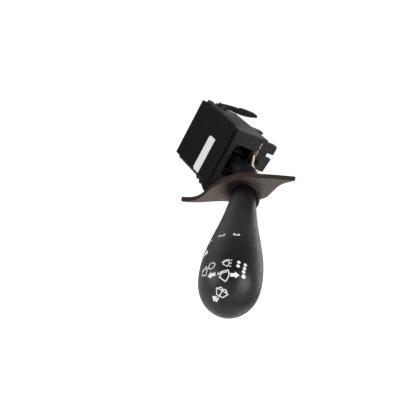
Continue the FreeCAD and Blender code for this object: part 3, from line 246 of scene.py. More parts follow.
class Surface(Nodes):
    """A material's nodes round its main shader."""

    def __init__(self, name):
        self.material = bpy.data.materials.new(name)
        self.material.use_nodes = True
        super().__init__(self.material.node_tree)
        self.shader = self.tree.nodes["Principled BSDF"]
        self.place = self.add("ShaderNodeTexCoord").outputs["Object"]

    def noise(self, size, detail=2.0, stretch=(1, 1, 1)):
        """Noise whose lumps are about size millimetres across."""
        mapping = self.add("ShaderNodeMapping", {"Vector": self.place, "Scale": stretch})
        inputs = {"Vector": mapping.outputs["Vector"], "Scale": 1 / (size * MM), "Detail": detail}
        return self.add("ShaderNodeTexNoise", inputs).outputs["Fac"]

    def bump(self, height, depth, normal=None):
        """Relief of the given depth in millimetres."""
        inputs = {"Strength": 1.0, "Distance": depth * MM, "Height": height}
        if normal is not None:
            inputs["Normal"] = normal
        return self.add("ShaderNodeBump", inputs).outputs["Normal"]

    def nearness(self, centre, start, end):
        """0 within start of a point and 1 beyond end, all in metres."""
        away = self.calculated("DISTANCE", self.place, centre, "ShaderNodeVectorMath")
        return self.spread(away, start=start, end=end)

    def facing_up(self):
        """1 on faces that look up, 0 on upright ones."""
        normal = self.add("ShaderNodeNewGeometry").outputs["Normal"]
        return self.spread(self.dot(normal, UPWARD), 0.0, 1.0, *UPPER_FACES)

    def soft_edge(self, radius):
        """The normal with sharp edges rounded, and 0 to 1 by how near an edge a point lies."""
        rounded = self.add("ShaderNodeBevel", {"Radius": radius * MM}, samples=4).outputs["Normal"]
        plain = self.add("ShaderNodeNewGeometry").outputs["Normal"]
        return rounded, self.spread(self.dot(rounded, plain), 1.0, 0.0, *EDGE_TURN)

    def finish(self, colour, roughness, normal=None, metallic=0.0, gloss=0.5):
        """Give the shader its values, each a plain one or a node's output."""
        values = {"Base Color": colour, "Roughness": roughness, "Metallic": metallic,
                  "Specular IOR Level": gloss}
        if normal is not None:
            values["Normal"] = normal
        for name, value in values.items():
            self.feed(self.shader.inputs[name], value)
        return self.material


# Materials

# A place in painted shade keeps this share of its gloss, standing in for surroundings that nearby parts
# hide. The rest returns between two distances from it, in metres
SHADE_GLOSS_SHARE = 0.12
NECK_SHADE_REACH = (0.0068, 0.0165)
MOUTH_SHADE_REACH = (0.006, 0.026)

# The pad carries painted shade of the neck and bulb round its hole, mostly on its left and upper side, in
# metres, and is this dark there
PAD_SHADE_MIDDLE = (-0.003, 0.0015)
PAD_SHADE_REACH = (0.0055, 0.0135)
PAD_SHADE_FACTOR = 0.08

# Fine lines of metal run along one axis
LINES_ALONG_X = (0.1, 1, 1)
LINES_ALONG_Y = (1, 0.1, 1)
WIRE_LINES = (1, 0.2, 1)


def shaded(colour, factor):
    """The colour made lighter or darker by a factor."""
    return tuple(min(1.0, channel * factor) for channel in colour)


def moulded_plastic(name, colour, roughness, grain, depth, gloss=0.5, edge=None, dust_and_sheen=None, gloss_shade=None):
    """Moulded plastic: eroded grain and mottle, with edges lightened by wear and painted highlight, and if
    given, dust with painted sheen on upper faces and painted shade that lowers the gloss near a point.
    """
    nodes = Surface(name)
    edge_normal, near_edge = nodes.soft_edge(PLASTIC_EDGE)
    flow = nodes.spread(nodes.noise(size=9.0, detail=4.0, stretch=(1, 1, 0.5)))
    body = nodes.blend(flow, shaded(colour, 0.88), shaded(colour, 1.12))
    # Dust and painted sheen: upper faces lighten towards this colour in a noisy film
    if dust_and_sheen is not None:
        film = nodes.spread(nodes.noise(size=2.2, detail=6.0, stretch=(0.4, 1, 1)), low=0.35, high=0.9)
        body = nodes.blend(nodes.calculated("MULTIPLY", nodes.facing_up(), film), body, dust_and_sheen)
    # Edges lighten in noisy patches: wear and painted edge highlight
    rubbed = nodes.spread(nodes.noise(size=1.6, detail=5.0), low=0.4, start=0.42, end=0.62)
    worn_and_highlit = nodes.calculated("MULTIPLY", near_edge, rubbed)
    body = nodes.blend(worn_and_highlit, body, edge or shaded(colour, 1.3))
    rough = nodes.spread(nodes.noise(size=2.4, detail=4.0), roughness - 0.06, roughness + 0.06)
    # Painted shade: less gloss near a point, where nearby parts hide the surroundings
    if gloss_shade is not None:
        gloss = nodes.spread(nodes.nearness(*gloss_shade), gloss * SHADE_GLOSS_SHARE, gloss, start=0.0, end=1.0)
    relief = nodes.bump(nodes.noise(size=grain, detail=3.0), depth, normal=edge_normal)
    return nodes.finish(body, rough, relief, gloss=gloss)


def drawn_metal(name, colour, roughness, stretch, tarnish, metallic=1.0):
    """Rolled or drawn metal with fine lines along it, darkened in clouds to a share of its colour."""
    nodes = Surface(name)
    edge_normal, _ = nodes.soft_edge(METAL_EDGE)
    lines = nodes.noise(size=0.12, detail=4.0, stretch=stretch)
    clouds = nodes.noise(size=1.8, detail=5.0)
    body = nodes.blend(nodes.spread(clouds, start=0.35, end=0.75), colour, shaded(colour, tarnish))
    rough = nodes.spread(clouds, roughness, roughness + 0.16)
    return nodes.finish(body, rough, nodes.bump(lines, depth=0.004, normal=edge_normal), metallic=metallic)


def foam_material(name, colour, cell, depth, speckle, shade_centre=None):
    """Closed-cell foam: matte, speckled small cells over a soft mottle, with painted shade darkening it
    round a point.
    """
    nodes = Surface(name)
    cells = nodes.add("ShaderNodeTexVoronoi", {"Scale": 1 / (cell * MM), "Vector": nodes.place},
                      feature="SMOOTH_F1")
    pores = nodes.spread(cells.outputs["Distance"], start=0.1, end=0.75)
    clouds = nodes.spread(nodes.noise(size=5.0, detail=5.0))
    specks = nodes.spread(nodes.noise(size=0.9, detail=4.0), start=0.36, end=0.62)
    soft = nodes.blend(clouds, shaded(colour, 0.86), shaded(colour, 1.08))
    grainy = nodes.blend(specks, shaded(colour, 1 - speckle), shaded(colour, 1 + speckle))
    body = nodes.blend(pores, grainy, soft)
    # Painted shade: darker near the point, where the neck and bulb shade the pad
    if shade_centre is not None:
        body = nodes.blend(nodes.nearness(shade_centre, *PAD_SHADE_REACH), shaded(colour, PAD_SHADE_FACTOR), body)
    return nodes.finish(body, roughness=0.93, normal=nodes.bump(pores, depth), gloss=0.08)


def paper_material(name, colour):
    """Bare matte label paper with a faint fibre."""
    nodes = Surface(name)
    fibre = nodes.noise(size=0.22, detail=6.0, stretch=(1, 1, 0.4))
    body = nodes.blend(nodes.spread(fibre), shaded(colour, 0.93), colour)
    return nodes.finish(body, roughness=0.62, normal=nodes.bump(fibre, depth=0.012), gloss=0.35)


def insulation_material(name, colour):
    """Soft extruded insulation, a little dirty."""
    nodes = Surface(name)
    dirt = nodes.spread(nodes.noise(size=0.9, detail=5.0), start=0.5, end=0.75)
    body = nodes.blend(dirt, colour, shaded(colour, 0.66))
    relief = nodes.bump(nodes.noise(size=0.5), depth=0.01)
    material = nodes.finish(body, roughness=0.42, normal=relief, gloss=0.45)
    nodes.feed(nodes.shader.inputs["Subsurface Weight"], 0.08)
    nodes.feed(nodes.shader.inputs["Subsurface Scale"], 0.4 * MM)
    return material


def board_material(name, colour):
    """Resin-bonded paper board with pressed layers."""
    nodes = Surface(name)
    layers = nodes.noise(size=0.5, detail=4.0, stretch=(0.3, 0.3, 4))
    body = nodes.blend(nodes.spread(layers), shaded(colour, 0.7), shaded(colour, 1.25))
    return nodes.finish(body, roughness=0.55, normal=nodes.bump(layers, depth=0.01), gloss=0.4)


def ink_material(name, colour):
    """Pad-printed ink: opaque, slightly uneven."""
    nodes = Surface(name)
    uneven = nodes.noise(size=0.35, detail=3.0)
    body = nodes.blend(nodes.spread(uneven), shaded(colour, 0.86), colour)
    return nodes.finish(body, roughness=0.5, normal=nodes.bump(uneven, depth=0.008), gloss=0.4)


# Pieces


def dress(material, *names):
    """Give the material to these nodes."""
    for name in names:
        mesh = NODES[name].data
        mesh.materials.clear()
        mesh.materials.append(material)


def add_piece(name, mesh, body):
    """A new piece with this mesh, riding on a body."""
    piece = bpy.data.objects.new(name, mesh)
    bpy.context.scene.collection.objects.link(piece)
    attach(piece, body)
    return piece


def add_mesh(name, points, faces, materials, smooth):
    """A mesh from points in metres."""
    mesh = bpy.data.meshes.new(name)
    mesh.from_pydata([tuple(point) for point in points], [], faces)
    mesh.polygons.foreach_set("use_smooth", [smooth] * len(mesh.polygons))
    for material in materials:
        mesh.materials.append(material)
    mesh.validate()
    return mesh


# Flat artwork: signed distances, x towards the lever's end, y up round the lever


def to_segments(points, closed=False):
    """Start and end points of a line's runs."""
    points = np.array(points, float)
    ends = np.roll(points, -1, axis=0)
    if closed:
        return points, ends
    return points[:-1], ends[:-1]


def line_distance(place, points, closed=False):
    """Distance from each place to a line of straight runs."""
    nearest = np.full(place.shape[:-1], np.inf)
    for start, end in zip(*to_segments(points, closed)):
        run = end - start
        share = np.clip(((place - start) @ run) / max(run @ run, 1e-12), 0, 1)
        nearest = np.minimum(nearest, np.linalg.norm(place - start - share[..., None] * run, axis=-1))
    return nearest


def stroke(points, width, closed=False):
    """A line of straight runs with round ends."""
    return lambda place: line_distance(place, points, closed) - width / 2


def filled(points):
    """A filled shape with straight sides."""
    def distance(place):
        inside = np.zeros(place.shape[:-1], bool)
        for start, end in zip(*to_segments(points, closed=True)):
            crosses = (start[1] > place[..., 1]) != (end[1] > place[..., 1])
            rise = end[1] - start[1] if end[1] != start[1] else 1e-9
            reach = (place[..., 1] - start[1]) / rise * (end[0] - start[0]) + start[0]
            inside ^= crosses & (place[..., 0] < reach)
        edge = line_distance(place, points, closed=True)
        return np.where(inside, -edge, edge)
    return distance


def disc(x, y, radius):
    return lambda place: np.hypot(place[..., 0] - x, place[..., 1] - y) - radius


def arc_points(x, y, radius, start, end, count=14):
    """Points of an arc between two angles in degrees."""
    angles = np.radians(np.linspace(start, end, count))
    return [(x + radius * math.cos(a), y + radius * math.sin(a)) for a in angles]


def bowed(start, end, sag, count=9):
    """Points of a shallow bow from start to end that stands out to its left by sag."""
    start, end = np.array(start, float), np.array(end, float)
    run = end - start
    side = np.array((-run[1], run[0])) / np.linalg.norm(run)
    shares = np.linspace(0, 1, count)
    return [tuple(start + run * share + side * sag * 4 * share * (1 - share)) for share in shares]


def windscreen(half_top, half_low, height, bow):
    """Outline of a windscreen: bowed upper and lower edges and sloping sides."""
    top = bowed((half_top, height / 2), (-half_top, height / 2), -bow)
    low = bowed((-half_low, -height / 2), (half_low, -height / 2), bow * 0.45)
    return top + low


def turn_marks(marks, angle):
    """The same marks turned by an angle in degrees."""
    turn = math.radians(angle)
    cos, sin = math.cos(turn), math.sin(turn)
    back = np.array(((cos, -sin), (sin, cos)))

    def turned(mark):
        return lambda place: mark(place @ back)
    return [turned(mark) for mark in marks]


def wiper_marks(line):
    """A windscreen with one wiper, whose pivot stands under it."""
    outline = windscreen(half_top=2.7, half_low=1.15, height=2.95, bow=0.9)
    wiper = [(-0.2, -2.4), (-0.5, -1.1), (-1.75, 1.2)]
    pivot = [(-0.65, -2.3), (0.25, -2.3)]
    return [stroke(outline, line, closed=True), stroke(wiper, line), stroke(pivot, line)]


def interval_marks(line):
    """A small windscreen with one wiper and three drops over it."""
    outline = windscreen(half_top=2.0, half_low=0.95, height=2.1, bow=0.4)
    wiper = [(-0.1, -1.75), (-0.35, -0.8), (-1.25, 0.8)]
    drops = [disc(x, y=2.2, radius=0.33) for x in (-1.7, 0.05, 1.7)]
    return [stroke(outline, line, closed=True), stroke(wiper, line), *drops]


def mist_marks(line):
    """A narrow windscreen with one wiper stroke."""
    outline = windscreen(half_top=2.3, half_low=1.2, height=2.6, bow=0.7)
    return [stroke(outline, line, closed=True), stroke([(-0.9, -0.9), (-1.2, 1.2)], line)]


def washer_marks(line):
    """A windscreen with a fountain of two arcs over it."""
    outline = windscreen(half_top=2.8, half_low=1.5, height=2.3, bow=0.2)
    stem = [(-0.1, -2.6), (0.0, 1.3)]
    left = arc_points(-1.0, 1.3, 1.0, 0, 180)
    right = arc_points(1.0, 1.3, 1.0, 180, 0)
    return [stroke(outline, line, closed=True), stroke(stem, line), stroke(left, line), stroke(right, line)]


def arrow_marks(length, width, shaft):
    """A broad arrow that points up."""
    half = length / 2
    neck = half - width * 0.62
    head = [(-width / 2, neck), (0.0, half), (width / 2, neck), (shaft / 2, neck)]
    foot = [(shaft / 2, -half), (-shaft / 2, -half), (-shaft / 2, neck)]
    return [filled(head + foot)]


def low_dots():
    """Two dots in a row, for the slow speed."""
    return [disc(x, y=0, radius=0.8) for x in (-1.05, 1.05)]


def high_dots():
    """Four dots in a row, the last one larger and a little aside, for the fast speed."""
    return [*(disc(x, y=0, radius=0.8) for x in (-2.9, -0.9, 1.0)), disc(3.1, y=0.6, radius=0.96)]


def digit_marks(digit, height, line):
    """Plain round-ended digits, 1 to 3."""
    half = height / 2
    radius = height * 0.26
    if digit == 1:
        return [stroke([(-radius * 0.8, half * 0.6), (0.0, half), (0.0, -half)], line)]
    if digit == 2:
        top = arc_points(0.0, half - radius, radius, 165, -35)
        return [stroke(top + [(-radius, -half), (radius * 1.1, -half)], line)]
    upper = arc_points(0.0, half - radius, radius, 155, -80)
    lower = arc_points(0.0, -half + radius * 1.05, radius * 1.1, 80, -155)
    return [stroke(upper + lower, line)]


def artwork_mesh(marks, reach, pitch):
    """Points and faces of the union of the marks, cut from a square grid at the ink's edge."""
    count = int(math.ceil(2 * reach / pitch)) + 1
    axis = np.linspace(-reach, reach, count)
    place = np.stack(np.meshgrid(axis, axis, indexing="ij"), axis=-1)
    depth = np.min([mark(place) for mark in marks], axis=0)
    points, index_of, faces = [], {}, []

    def point(key, xy):
        if key not in index_of:
            index_of[key] = len(points)
            points.append(xy)
        return index_of[key]

    inked = depth < 0
    any_inked = inked[:-1, :-1] | inked[1:, :-1] | inked[1:, 1:] | inked[:-1, 1:]
    for i, j in np.argwhere(any_inked):
        corners = [(i, j), (i + 1, j), (i + 1, j + 1), (i, j + 1)]
        face = []
        for here, there in zip(corners, corners[1:] + corners[:1]):
            if inked[here]:
                face.append(point(here, place[here]))
            if inked[here] != inked[there]:
                share = depth[here] / (depth[here] - depth[there])
                crossing = place[here] + (place[there] - place[here]) * share
                face.append(point(tuple(sorted((here, there))), crossing))
        if len(face) > 2:
            faces.append(face)
    return np.array(points), faces


def open_edges(faces):
    """Directed edges that only one face uses."""
    seen = dict.fromkeys((start, end) for face in faces for start, end in zip(face, face[1:] + face[:1]))
    return [(start, end) for start, end in seen if (end, start) not in seen]


def lever_direction(azimuth):
    """Unit vector out from the lever's axis; 0 faces the driver, positive is up round the lever."""
    angle = math.radians(azimuth)
    return FACING * math.cos(angle) + ACROSS * math.sin(angle)


# Rays that find the lever's skin start this far from its axis, and then this far over the skin
AXIS_RAY = 40.0
SKIN_RAY = 4.0


def print_on_lever(name, marks, reach, at, azimuth, node, body):
    """Lay flat artwork on the node's skin at a height along the lever and an angle round it."""
    settings = bpy.context.scene.stalk_print
    flat, faces = artwork_mesh(marks, reach, settings.pitch / MM)
    mesh = NODES[node].data
    tree = BVHTree.FromPolygons([v.co for v in mesh.vertices], [p.vertices for p in mesh.polygons])
    out = lever_direction(azimuth)
    foot, normal, _, _ = tree.ray_cast(ELBOW + ALONG * (at * MM) + out * (AXIS_RAY * MM), -out)
    if foot is None:
        raise RuntimeError(f"{name}: no skin of {node} under the print")
    lengthwise = ALONG.cross(out).normalized()
    x_axis = lengthwise.cross(normal).normalized()
    if x_axis.dot(ALONG) < 0:
        x_axis = -x_axis
    y_axis = normal.cross(x_axis)
    top, low = [], []
    for x, y in flat:
        start = foot + x_axis * (x * MM) + y_axis * (y * MM) + normal * (SKIN_RAY * MM)
        hit, skin, _, _ = tree.ray_cast(start, -normal)
        if hit is None:
            raise RuntimeError(f"{name}: the print runs off {node}")
        top.append(hit + skin * settings.lift)
        low.append(hit - skin * (settings.lift / 2))
    count = len(top)
    shell = [face[:] for face in faces]
    shell += [[vertex + count for vertex in reversed(face)] for face in faces]
    shell += [[end, start, start + count, end + count] for start, end in open_edges(faces)]
    ink = bpy.data.materials.get("printed_ink")
    if ink is None:
        ink = ink_material("printed_ink", bpy.context.scene.stalk_finish.ink)
    return add_piece(name, add_mesh(name, top + low, shell, [ink], smooth=False), body)


# Foam pad

# Place along the lever from its elbow, tilt from square, thickness and edge rounding
PAD_AT = 17.0
PAD_TILT = math.radians(10.0)
PAD_THICKNESS = 3.2
PAD_ROUND = 0.35

# Outline as (across the lever, towards the driver) from the hole's centre, sharp at three corners
PAD_OUTLINE = (
    (-32.0, -13.5), (-28.0, -12.9), (-24.7, -11.5), (-21.8, -8.7), (-19.3, -4.8), (-16.4, -0.8),
    (-11.3, 4.8), (-6.7, 8.6), (-1.2, 10.7), (5.7, 11.9), (12.6, 12.6), (19.0, 12.9), (23.7, 13.1),
    (19.8, 11.0), (16.7, 8.3), (13.9, 3.5), (11.6, -0.6), (8.9, -2.7), (1.0, -6.6), (-6.4, -8.5),
    (-20.8, -12.5), (-31.0, -14.1),
)
PAD_CORNERS = (0, 12, 21)
OUTLINE_STEPS = 12
FACE_ROWS = 20

# The mesh lines that end between these places across the left wing bend towards this point
WING_BEND = Vector((-18.5, -13.0))
WING_SPAN = (-17.0, -24.0)

# The sheet waves fully this far from its hole, in two waves: radians across and along, start and share
CALM_REACH = 8.0
PAD_WAVES = ((0.16, 0.0, 0.5, 0.7), (-0.05, 0.21, 0.0, 0.5))

# Its thickness runs along the neck at the hole and is square to the sheet at a third of the way out
SQUARING = 3

# The hole fits the neck, which widens towards the bulb
HOLE_RADIUS = 6.2
HOLE_FLARE = 0.1

# The lip turns out along the neck round one angle; pairs go from its least size to its fullest
LIP_MIDDLE = math.radians(-14.0)
LIP_SPAN = math.radians(24.0)
LIP_SHOULDER = math.radians(18.0)
LIP_LEAST = 0.45
LIP_THICKNESS = (0.35, 1.9)
LIP_FILLET = (0.3, 0.5)
LIP_ROWS = (0.2, 0.4, 0.6, 0.8, 0.92, 1.0)
FILLET_ROWS = (0.0, 0.33, 0.67, 1.0)

# Shares of the lip's thickness at its foot and end, and its bulge's start and power on a half sine
LIP_FOOT = 0.65
LIP_END = 0.12
LIP_BULGE_START = 0.18
LIP_BULGE_POWER = 0.8

# The hole's edge lies this far under the lip's end
LIP_DROP = 0.12

# Finish of a face of the pad; the lip shows cut foam where it is turned out by more than a share
SKIN, CUT, LIP_CUT = 0, 1, 2
LIP_CUT_SHARE = 0.1


def smooth_loop(points, corners, per_run):
    """A closed curve through the points that stays sharp at the corners."""
    points = np.array(points, float)
    count = len(points)
    loop = []
    for index in range(count):
        here, there = points[index], points[(index + 1) % count]
        before = here if index in corners else points[index - 1]
        after = there if (index + 1) % count in corners else points[(index + 2) % count]
        for step in range(per_run):
            t = step / per_run
            loop.append(0.5 * (2 * here + (there - before) * t
                               + (2 * before - 5 * here + 4 * there - after) * t ** 2
                               + (3 * here - before - 3 * there + after) * t ** 3))
    return np.array(loop)


def pad_frame():
    """Origin and axes of the pad's face: x across the lever, y towards the driver, z out."""
    out = ALONG * math.cos(PAD_TILT) - FACING * math.sin(PAD_TILT)
    up = FACING * math.cos(PAD_TILT) + ALONG * math.sin(PAD_TILT)
    return ELBOW + ALONG * (PAD_AT * MM), ACROSS, up, out


def pad_wave(x, y, wave):
    """Height of the gently waving sheet."""
    return wave * sum(share * math.sin(x * across + y * along + start)
                      for across, along, start, share in PAD_WAVES)


def smooth_step(share):
    share = min(1.0, max(0.0, share))
    return share * share * (3 - 2 * share)


def between(pair, share):
    return pair[0] + (pair[1] - pair[0]) * share


class FoamSheet:
    """Points of the pad: a waving sheet whose hole turns out along the neck on one side."""

    def __init__(self, settings):
        self.origin, self.across, self.up, self.out = pad_frame()
        self.wave = settings.wave / MM
        self.lip = settings.lip / MM
        outer = smooth_loop(PAD_OUTLINE, PAD_CORNERS, OUTLINE_STEPS)
        angles = np.unwrap(np.arctan2(outer[:, 1], outer[:, 0]))
        turn = np.sign(angles[-1] - angles[0])
        self.angles = np.maximum.accumulate(angles * turn) * turn
        self.outer = [Vector(point) for point in outer]
        self.spokes = [Vector((math.cos(a), math.sin(a))) for a in self.angles]
        self.points = []

    def lip_share(self, angle):
        """How far the lip is turned out at an angle round the hole, 0 to 1."""
        away = abs((angle - LIP_MIDDLE + math.pi) % (2 * math.pi) - math.pi)
        return smooth_step(1 - (away - LIP_SPAN) / LIP_SHOULDER)

    def lip_sizes(self, angle):
        """The lip's reach, thickness and fillet at an angle round the hole."""
        share = self.lip_share(angle)
        pairs = ((LIP_LEAST, self.lip), LIP_THICKNESS, LIP_FILLET)
        return [between(pair, share) for pair in pairs]

    def add(self, flat, height, straight):
        """A point at a height over the sheet's face; straight 1 is square to it, 0 along the neck."""
        lean = ALONG / math.cos(PAD_TILT) * (1 - straight) + self.out * straight
        place = self.origin + self.across * (flat.x * MM) + self.up * (flat.y * MM)
        self.points.append(place + lean * (height * MM))
        return len(self.points) - 1

    def sheet_row(self, share, height, grow=0.0):
        """A row of the flat sheet; share runs from 0 at the hole to 1 at the rim."""
        row = []
        for angle, spoke, far in zip(self.angles, self.spokes, self.outer):
            _, thickness, fillet = self.lip_sizes(angle)
            on_face = height > -PAD_THICKNESS / 2
            rim = HOLE_RADIUS + (thickness * LIP_FOOT + fillet if on_face else PAD_ROUND)
            near = spoke * rim
            pull = smooth_step((WING_SPAN[0] - far.x) / (WING_SPAN[0] - WING_SPAN[1]))
            bend = (WING_BEND - (near + far) / 2) * (2 * share * (1 - share) * pull)
            flat = near.lerp(far, share) + bend + far.normalized() * grow
            calm = smooth_step((flat.length - rim) / CALM_REACH)
            lift = (pad_wave(flat.x, flat.y, self.wave) - self.wave) * calm
            row.append(self.add(flat, height + lift, smooth_step(share * SQUARING)))
        return row

    def fillet_row(self, turned):
        """A row of the turn from the sheet into the lip, turned by a share of a right angle."""
        bend = turned * math.pi / 2
        row = []
        for angle, spoke in zip(self.angles, self.spokes):
            _, thickness, fillet = self.lip_sizes(angle)
            radius = HOLE_RADIUS + thickness * LIP_FOOT + fillet * (1 - math.sin(bend))
            row.append(self.add(spoke * radius, fillet * (1 - math.cos(bend)), 0.0))
        return row

    def lip_row(self, share):
        """A row of the lip's outside, which bulges and then thins towards its end."""
        bulge = math.sin(math.pi * between((LIP_BULGE_START, 1.0), share)) if share < 1 else 0.0
        full = between((LIP_END, 1.0), bulge ** LIP_BULGE_POWER)
        row = []
        for angle, spoke in zip(self.angles, self.spokes):
            reach, thickness, fillet = self.lip_sizes(angle)
            height = between((fillet, reach), share)
            radius = HOLE_RADIUS + HOLE_FLARE * height * share + thickness * full
            row.append(self.add(spoke * radius, height, 0.0))
        return row

    def hole_row(self, height):
        """A row of the hole's inside; height None is just under the lip's end."""
        row = []
        for angle, spoke in zip(self.angles, self.spokes):
            level = self.lip_sizes(angle)[0] - LIP_DROP if height is None else height
            row.append(self.add(spoke * (HOLE_RADIUS + HOLE_FLARE * level), level, 0.0))
        return row

    def rows(self):
        """All rows round the section, each with the finish of the faces after it."""
        shares = np.linspace(1.0, 0.0, FACE_ROWS)
        low = -PAD_THICKNESS + PAD_ROUND
        face = [(self.sheet_row(share, 0.0), SKIN) for share in shares[:-1]]
        turn = [(self.fillet_row(share), LIP_CUT) for share in FILLET_ROWS]
        lip = [(self.lip_row(share), LIP_CUT) for share in LIP_ROWS]
        hole = [(self.hole_row(height), CUT) for height in (None, 0.0, low)]
        back = [(self.sheet_row(share, -PAD_THICKNESS), SKIN) for share in shares[::-1]]
        back[-1] = (back[-1][0], CUT)
        rim = [(self.sheet_row(1.0, height, PAD_ROUND), CUT) for height in (low, -PAD_ROUND)]
        return face + turn + lip + hole + back + rim

    def finish_at(self, kind, column):
        """Skin or cut foam for a face in a column of the mesh."""
        if kind != LIP_CUT:
            return kind
        return CUT if self.lip_share(self.angles[column]) > LIP_CUT_SHARE else SKIN


class STALK_OT_foam_pad(bpy.types.Operator):
    """Foam pad on the neck: a waving sheet with cut edges and a turned lip at its hole."""

    bl_idname = "stalk.foam_pad"
    bl_label = "Foam pad"

    def execute(self, context):
        finish = context.scene.stalk_finish
        sheet = FoamSheet(context.scene.stalk_pad)
        rows = sheet.rows()
        faces, kinds = [], []
        for (near, kind), (far, _) in zip(rows, rows[1:] + rows[:1]):
            for column in range(len(near)):
                side = (column + 1) % len(near)
                faces.append([near[column], far[column], far[side], near[side]])
                kinds.append(sheet.finish_at(kind, column))
        # Painted shade of the neck and bulb on the pad's face, centred a little left of and above the hole
        shade_centre = sheet.origin + sheet.across * PAD_SHADE_MIDDLE[0] + sheet.up * PAD_SHADE_MIDDLE[1]
        skin = foam_material("foam_skin", finish.foam, cell=0.55, depth=0.05, speckle=0.4, shade_centre=shade_centre)
        cut = foam_material("foam_cut_edge", finish.foam_cut, cell=0.45, depth=0.09, speckle=0.75)
        mesh = add_mesh("foam_sheet", sheet.points, faces, [skin, cut], smooth=True)
        mesh.polygons.foreach_set("material_index", kinds)
        pad = add_piece("foam_sheet", mesh, "lever")
        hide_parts("foam_pad")
        return {"FINISHED"}


# Rigid pieces


class STALK_OT_housing(bpy.types.Operator):
    """Grained black housing, carrier and latch, a yoke darkened as painted shade inside the mouth, smoother
    side cover and paper label.
    """

    bl_idname = "stalk.housing"
    bl_label = "Housing"

    def execute(self, context):
        finish = context.scene.stalk_finish
        # Scuffs and painted highlights on the edges of the housing and the cover
        scuffed_and_highlit = shaded(finish.dust_and_sheen, 0.6)
        low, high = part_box("case")
        # Painted shade: the housing's front face loses gloss near the mouth's lower corner, under the pad
        mouth = ((high[0], low[1], low[2]), *MOUTH_SHADE_REACH)
        grained = {"grain": 0.16, "depth": 0.02}
        # The housing's upper faces get dust with painted sheen
        housing = moulded_plastic("housing_plastic", finish.housing, roughness=0.5, **grained,
                                  edge=scuffed_and_highlit, dust_and_sheen=shaded(finish.dust_and_sheen, 0.42), gloss_shade=mouth)
        cover = moulded_plastic("cover_plastic", finish.cover, roughness=0.42, grain=0.3, depth=0.006,
                                gloss=0.08, edge=scuffed_and_highlit)
        latch = moulded_plastic("latch_plastic", finish.housing, roughness=0.55, **grained, gloss=0.25)
        # Painted shade: the yoke is housing plastic darkened and made less glossy, standing in for the deep
        # shade inside the mouth
        yoke = moulded_plastic("yoke_plastic", shaded(finish.housing, 0.4), roughness=0.6, **grained,
                               gloss=0.15)
        dress(housing, "case", "connector_carrier")
        dress(yoke, "swing_yoke")
        dress(latch, "release_latch")
        dress(cover, "side_cover")
        dress(paper_material("label_paper", finish.label), "label_strip")
        return {"FINISHED"}


# Side outline of the latch's arm from its pivot, as (towards the connector, up), with a sharp step on top
LATCH_OUTLINE = (
    (-1.15, 0.0), (0.0, 1.15), (3.0, 1.75), (7.0, 2.15), (11.6, 2.45), (12.0, 2.9), (15.0, 3.2),
    (19.5, 3.3), (23.0, 3.1), (24.3, 2.35), (23.6, 1.35), (19.0, 0.1), (14.3, -0.5), (9.0, -0.55),
    (4.8, -0.35), (0.0, -1.15),
)
LATCH_CORNERS = (4, 5)
LATCH_STEPS = 6
LATCH_WIDTH = 3.1
LATCH_ROUND = 0.4


class STALK_OT_latch(bpy.types.Operator):
    """Full, rounded arm of the release latch, fitted over its solid."""

    bl_idname = "stalk.latch"
    bl_label = "Latch arm"

    def execute(self, context):
        start = Vector(JOINTS["release"]["pos_m"]) - Vector((LATCH_WIDTH / 2 * MM, 0, 0))
        outline = smooth_loop(LATCH_OUTLINE, LATCH_CORNERS, LATCH_STEPS)
        solid = bmesh.new()
        side = solid.faces.new([solid.verts.new(start + Vector((0, y, z)) * MM) for y, z in outline])
        grown = bmesh.ops.extrude_face_region(solid, geom=[side])["geom"]
        moved = [part for part in grown if isinstance(part, bmesh.types.BMVert)]
        bmesh.ops.translate(solid, verts=moved, vec=(LATCH_WIDTH * MM, 0, 0))
        rims = [edge for edge in solid.edges if abs(edge.verts[0].co.x - edge.verts[1].co.x) < 1e-9]
        bmesh.ops.bevel(solid, geom=rims, offset=LATCH_ROUND * MM, segments=3, profile=0.5, affect="EDGES")
        bmesh.ops.recalc_face_normals(solid, faces=solid.faces)
        mesh = bpy.data.meshes.new("latch_arm")
        solid.to_mesh(mesh)
        solid.free()
        for polygon in mesh.polygons:
            polygon.use_smooth = len(polygon.vertices) < 5
        mesh.materials.append(bpy.data.materials["latch_plastic"])
        add_piece("latch_arm", mesh, "latch")
        return {"FINISHED"}


class STALK_OT_mechanism(bpy.types.Operator):
    """Inner pieces in natural plastic, board, contact metals and spring steel."""

    bl_idname = "stalk.mechanism"
    bl_label = "Mechanism"

    def execute(self, context):
        finish = context.scene.stalk_finish
        natural = moulded_plastic("natural_plastic", finish.inner, roughness=0.46, grain=0.2, depth=0.01)
        dress(natural, "detent_plunger", "detent_track", "slider_rails", "contact_slider", "ring_hub")
        dress(board_material("resin_board", finish.board), "contact_board", "delay_wafer")
        copper = drawn_metal("bare_copper", finish.copper, roughness=0.4, stretch=LINES_ALONG_X,
                             tarnish=0.8, metallic=0.05)
        dress(copper, "bus_bars", "contact_tracks")
        brass = drawn_metal("contact_brass", finish.brass, roughness=0.28, stretch=LINES_ALONG_Y,
                            tarnish=0.7)
        dress(brass, "terminal_blades", "contact_fingers", "wash_contacts", "wash_bridge", "ring_wiper")
        steel = drawn_metal("spring_steel", finish.steel, roughness=0.25, stretch=WIRE_LINES, tarnish=0.7)
        dress(steel, "pull_pin", "return_spring", "detent_spring")
        return {"FINISHED"}


class STALK_OT_return_spring(bpy.types.Operator):
    """The lever's return spring, copied to ride on the yoke as a rigid piece; the real spring shortens as
    the lever is pulled.
    """

    bl_idname = "stalk.return_spring"
    bl_label = "Return spring"

    def execute(self, context):
        spring = add_piece("pull_spring", NODES["return_spring"].data.copy(), "yoke")
        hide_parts("return_spring")
        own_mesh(spring)
        return {"FINISHED"}


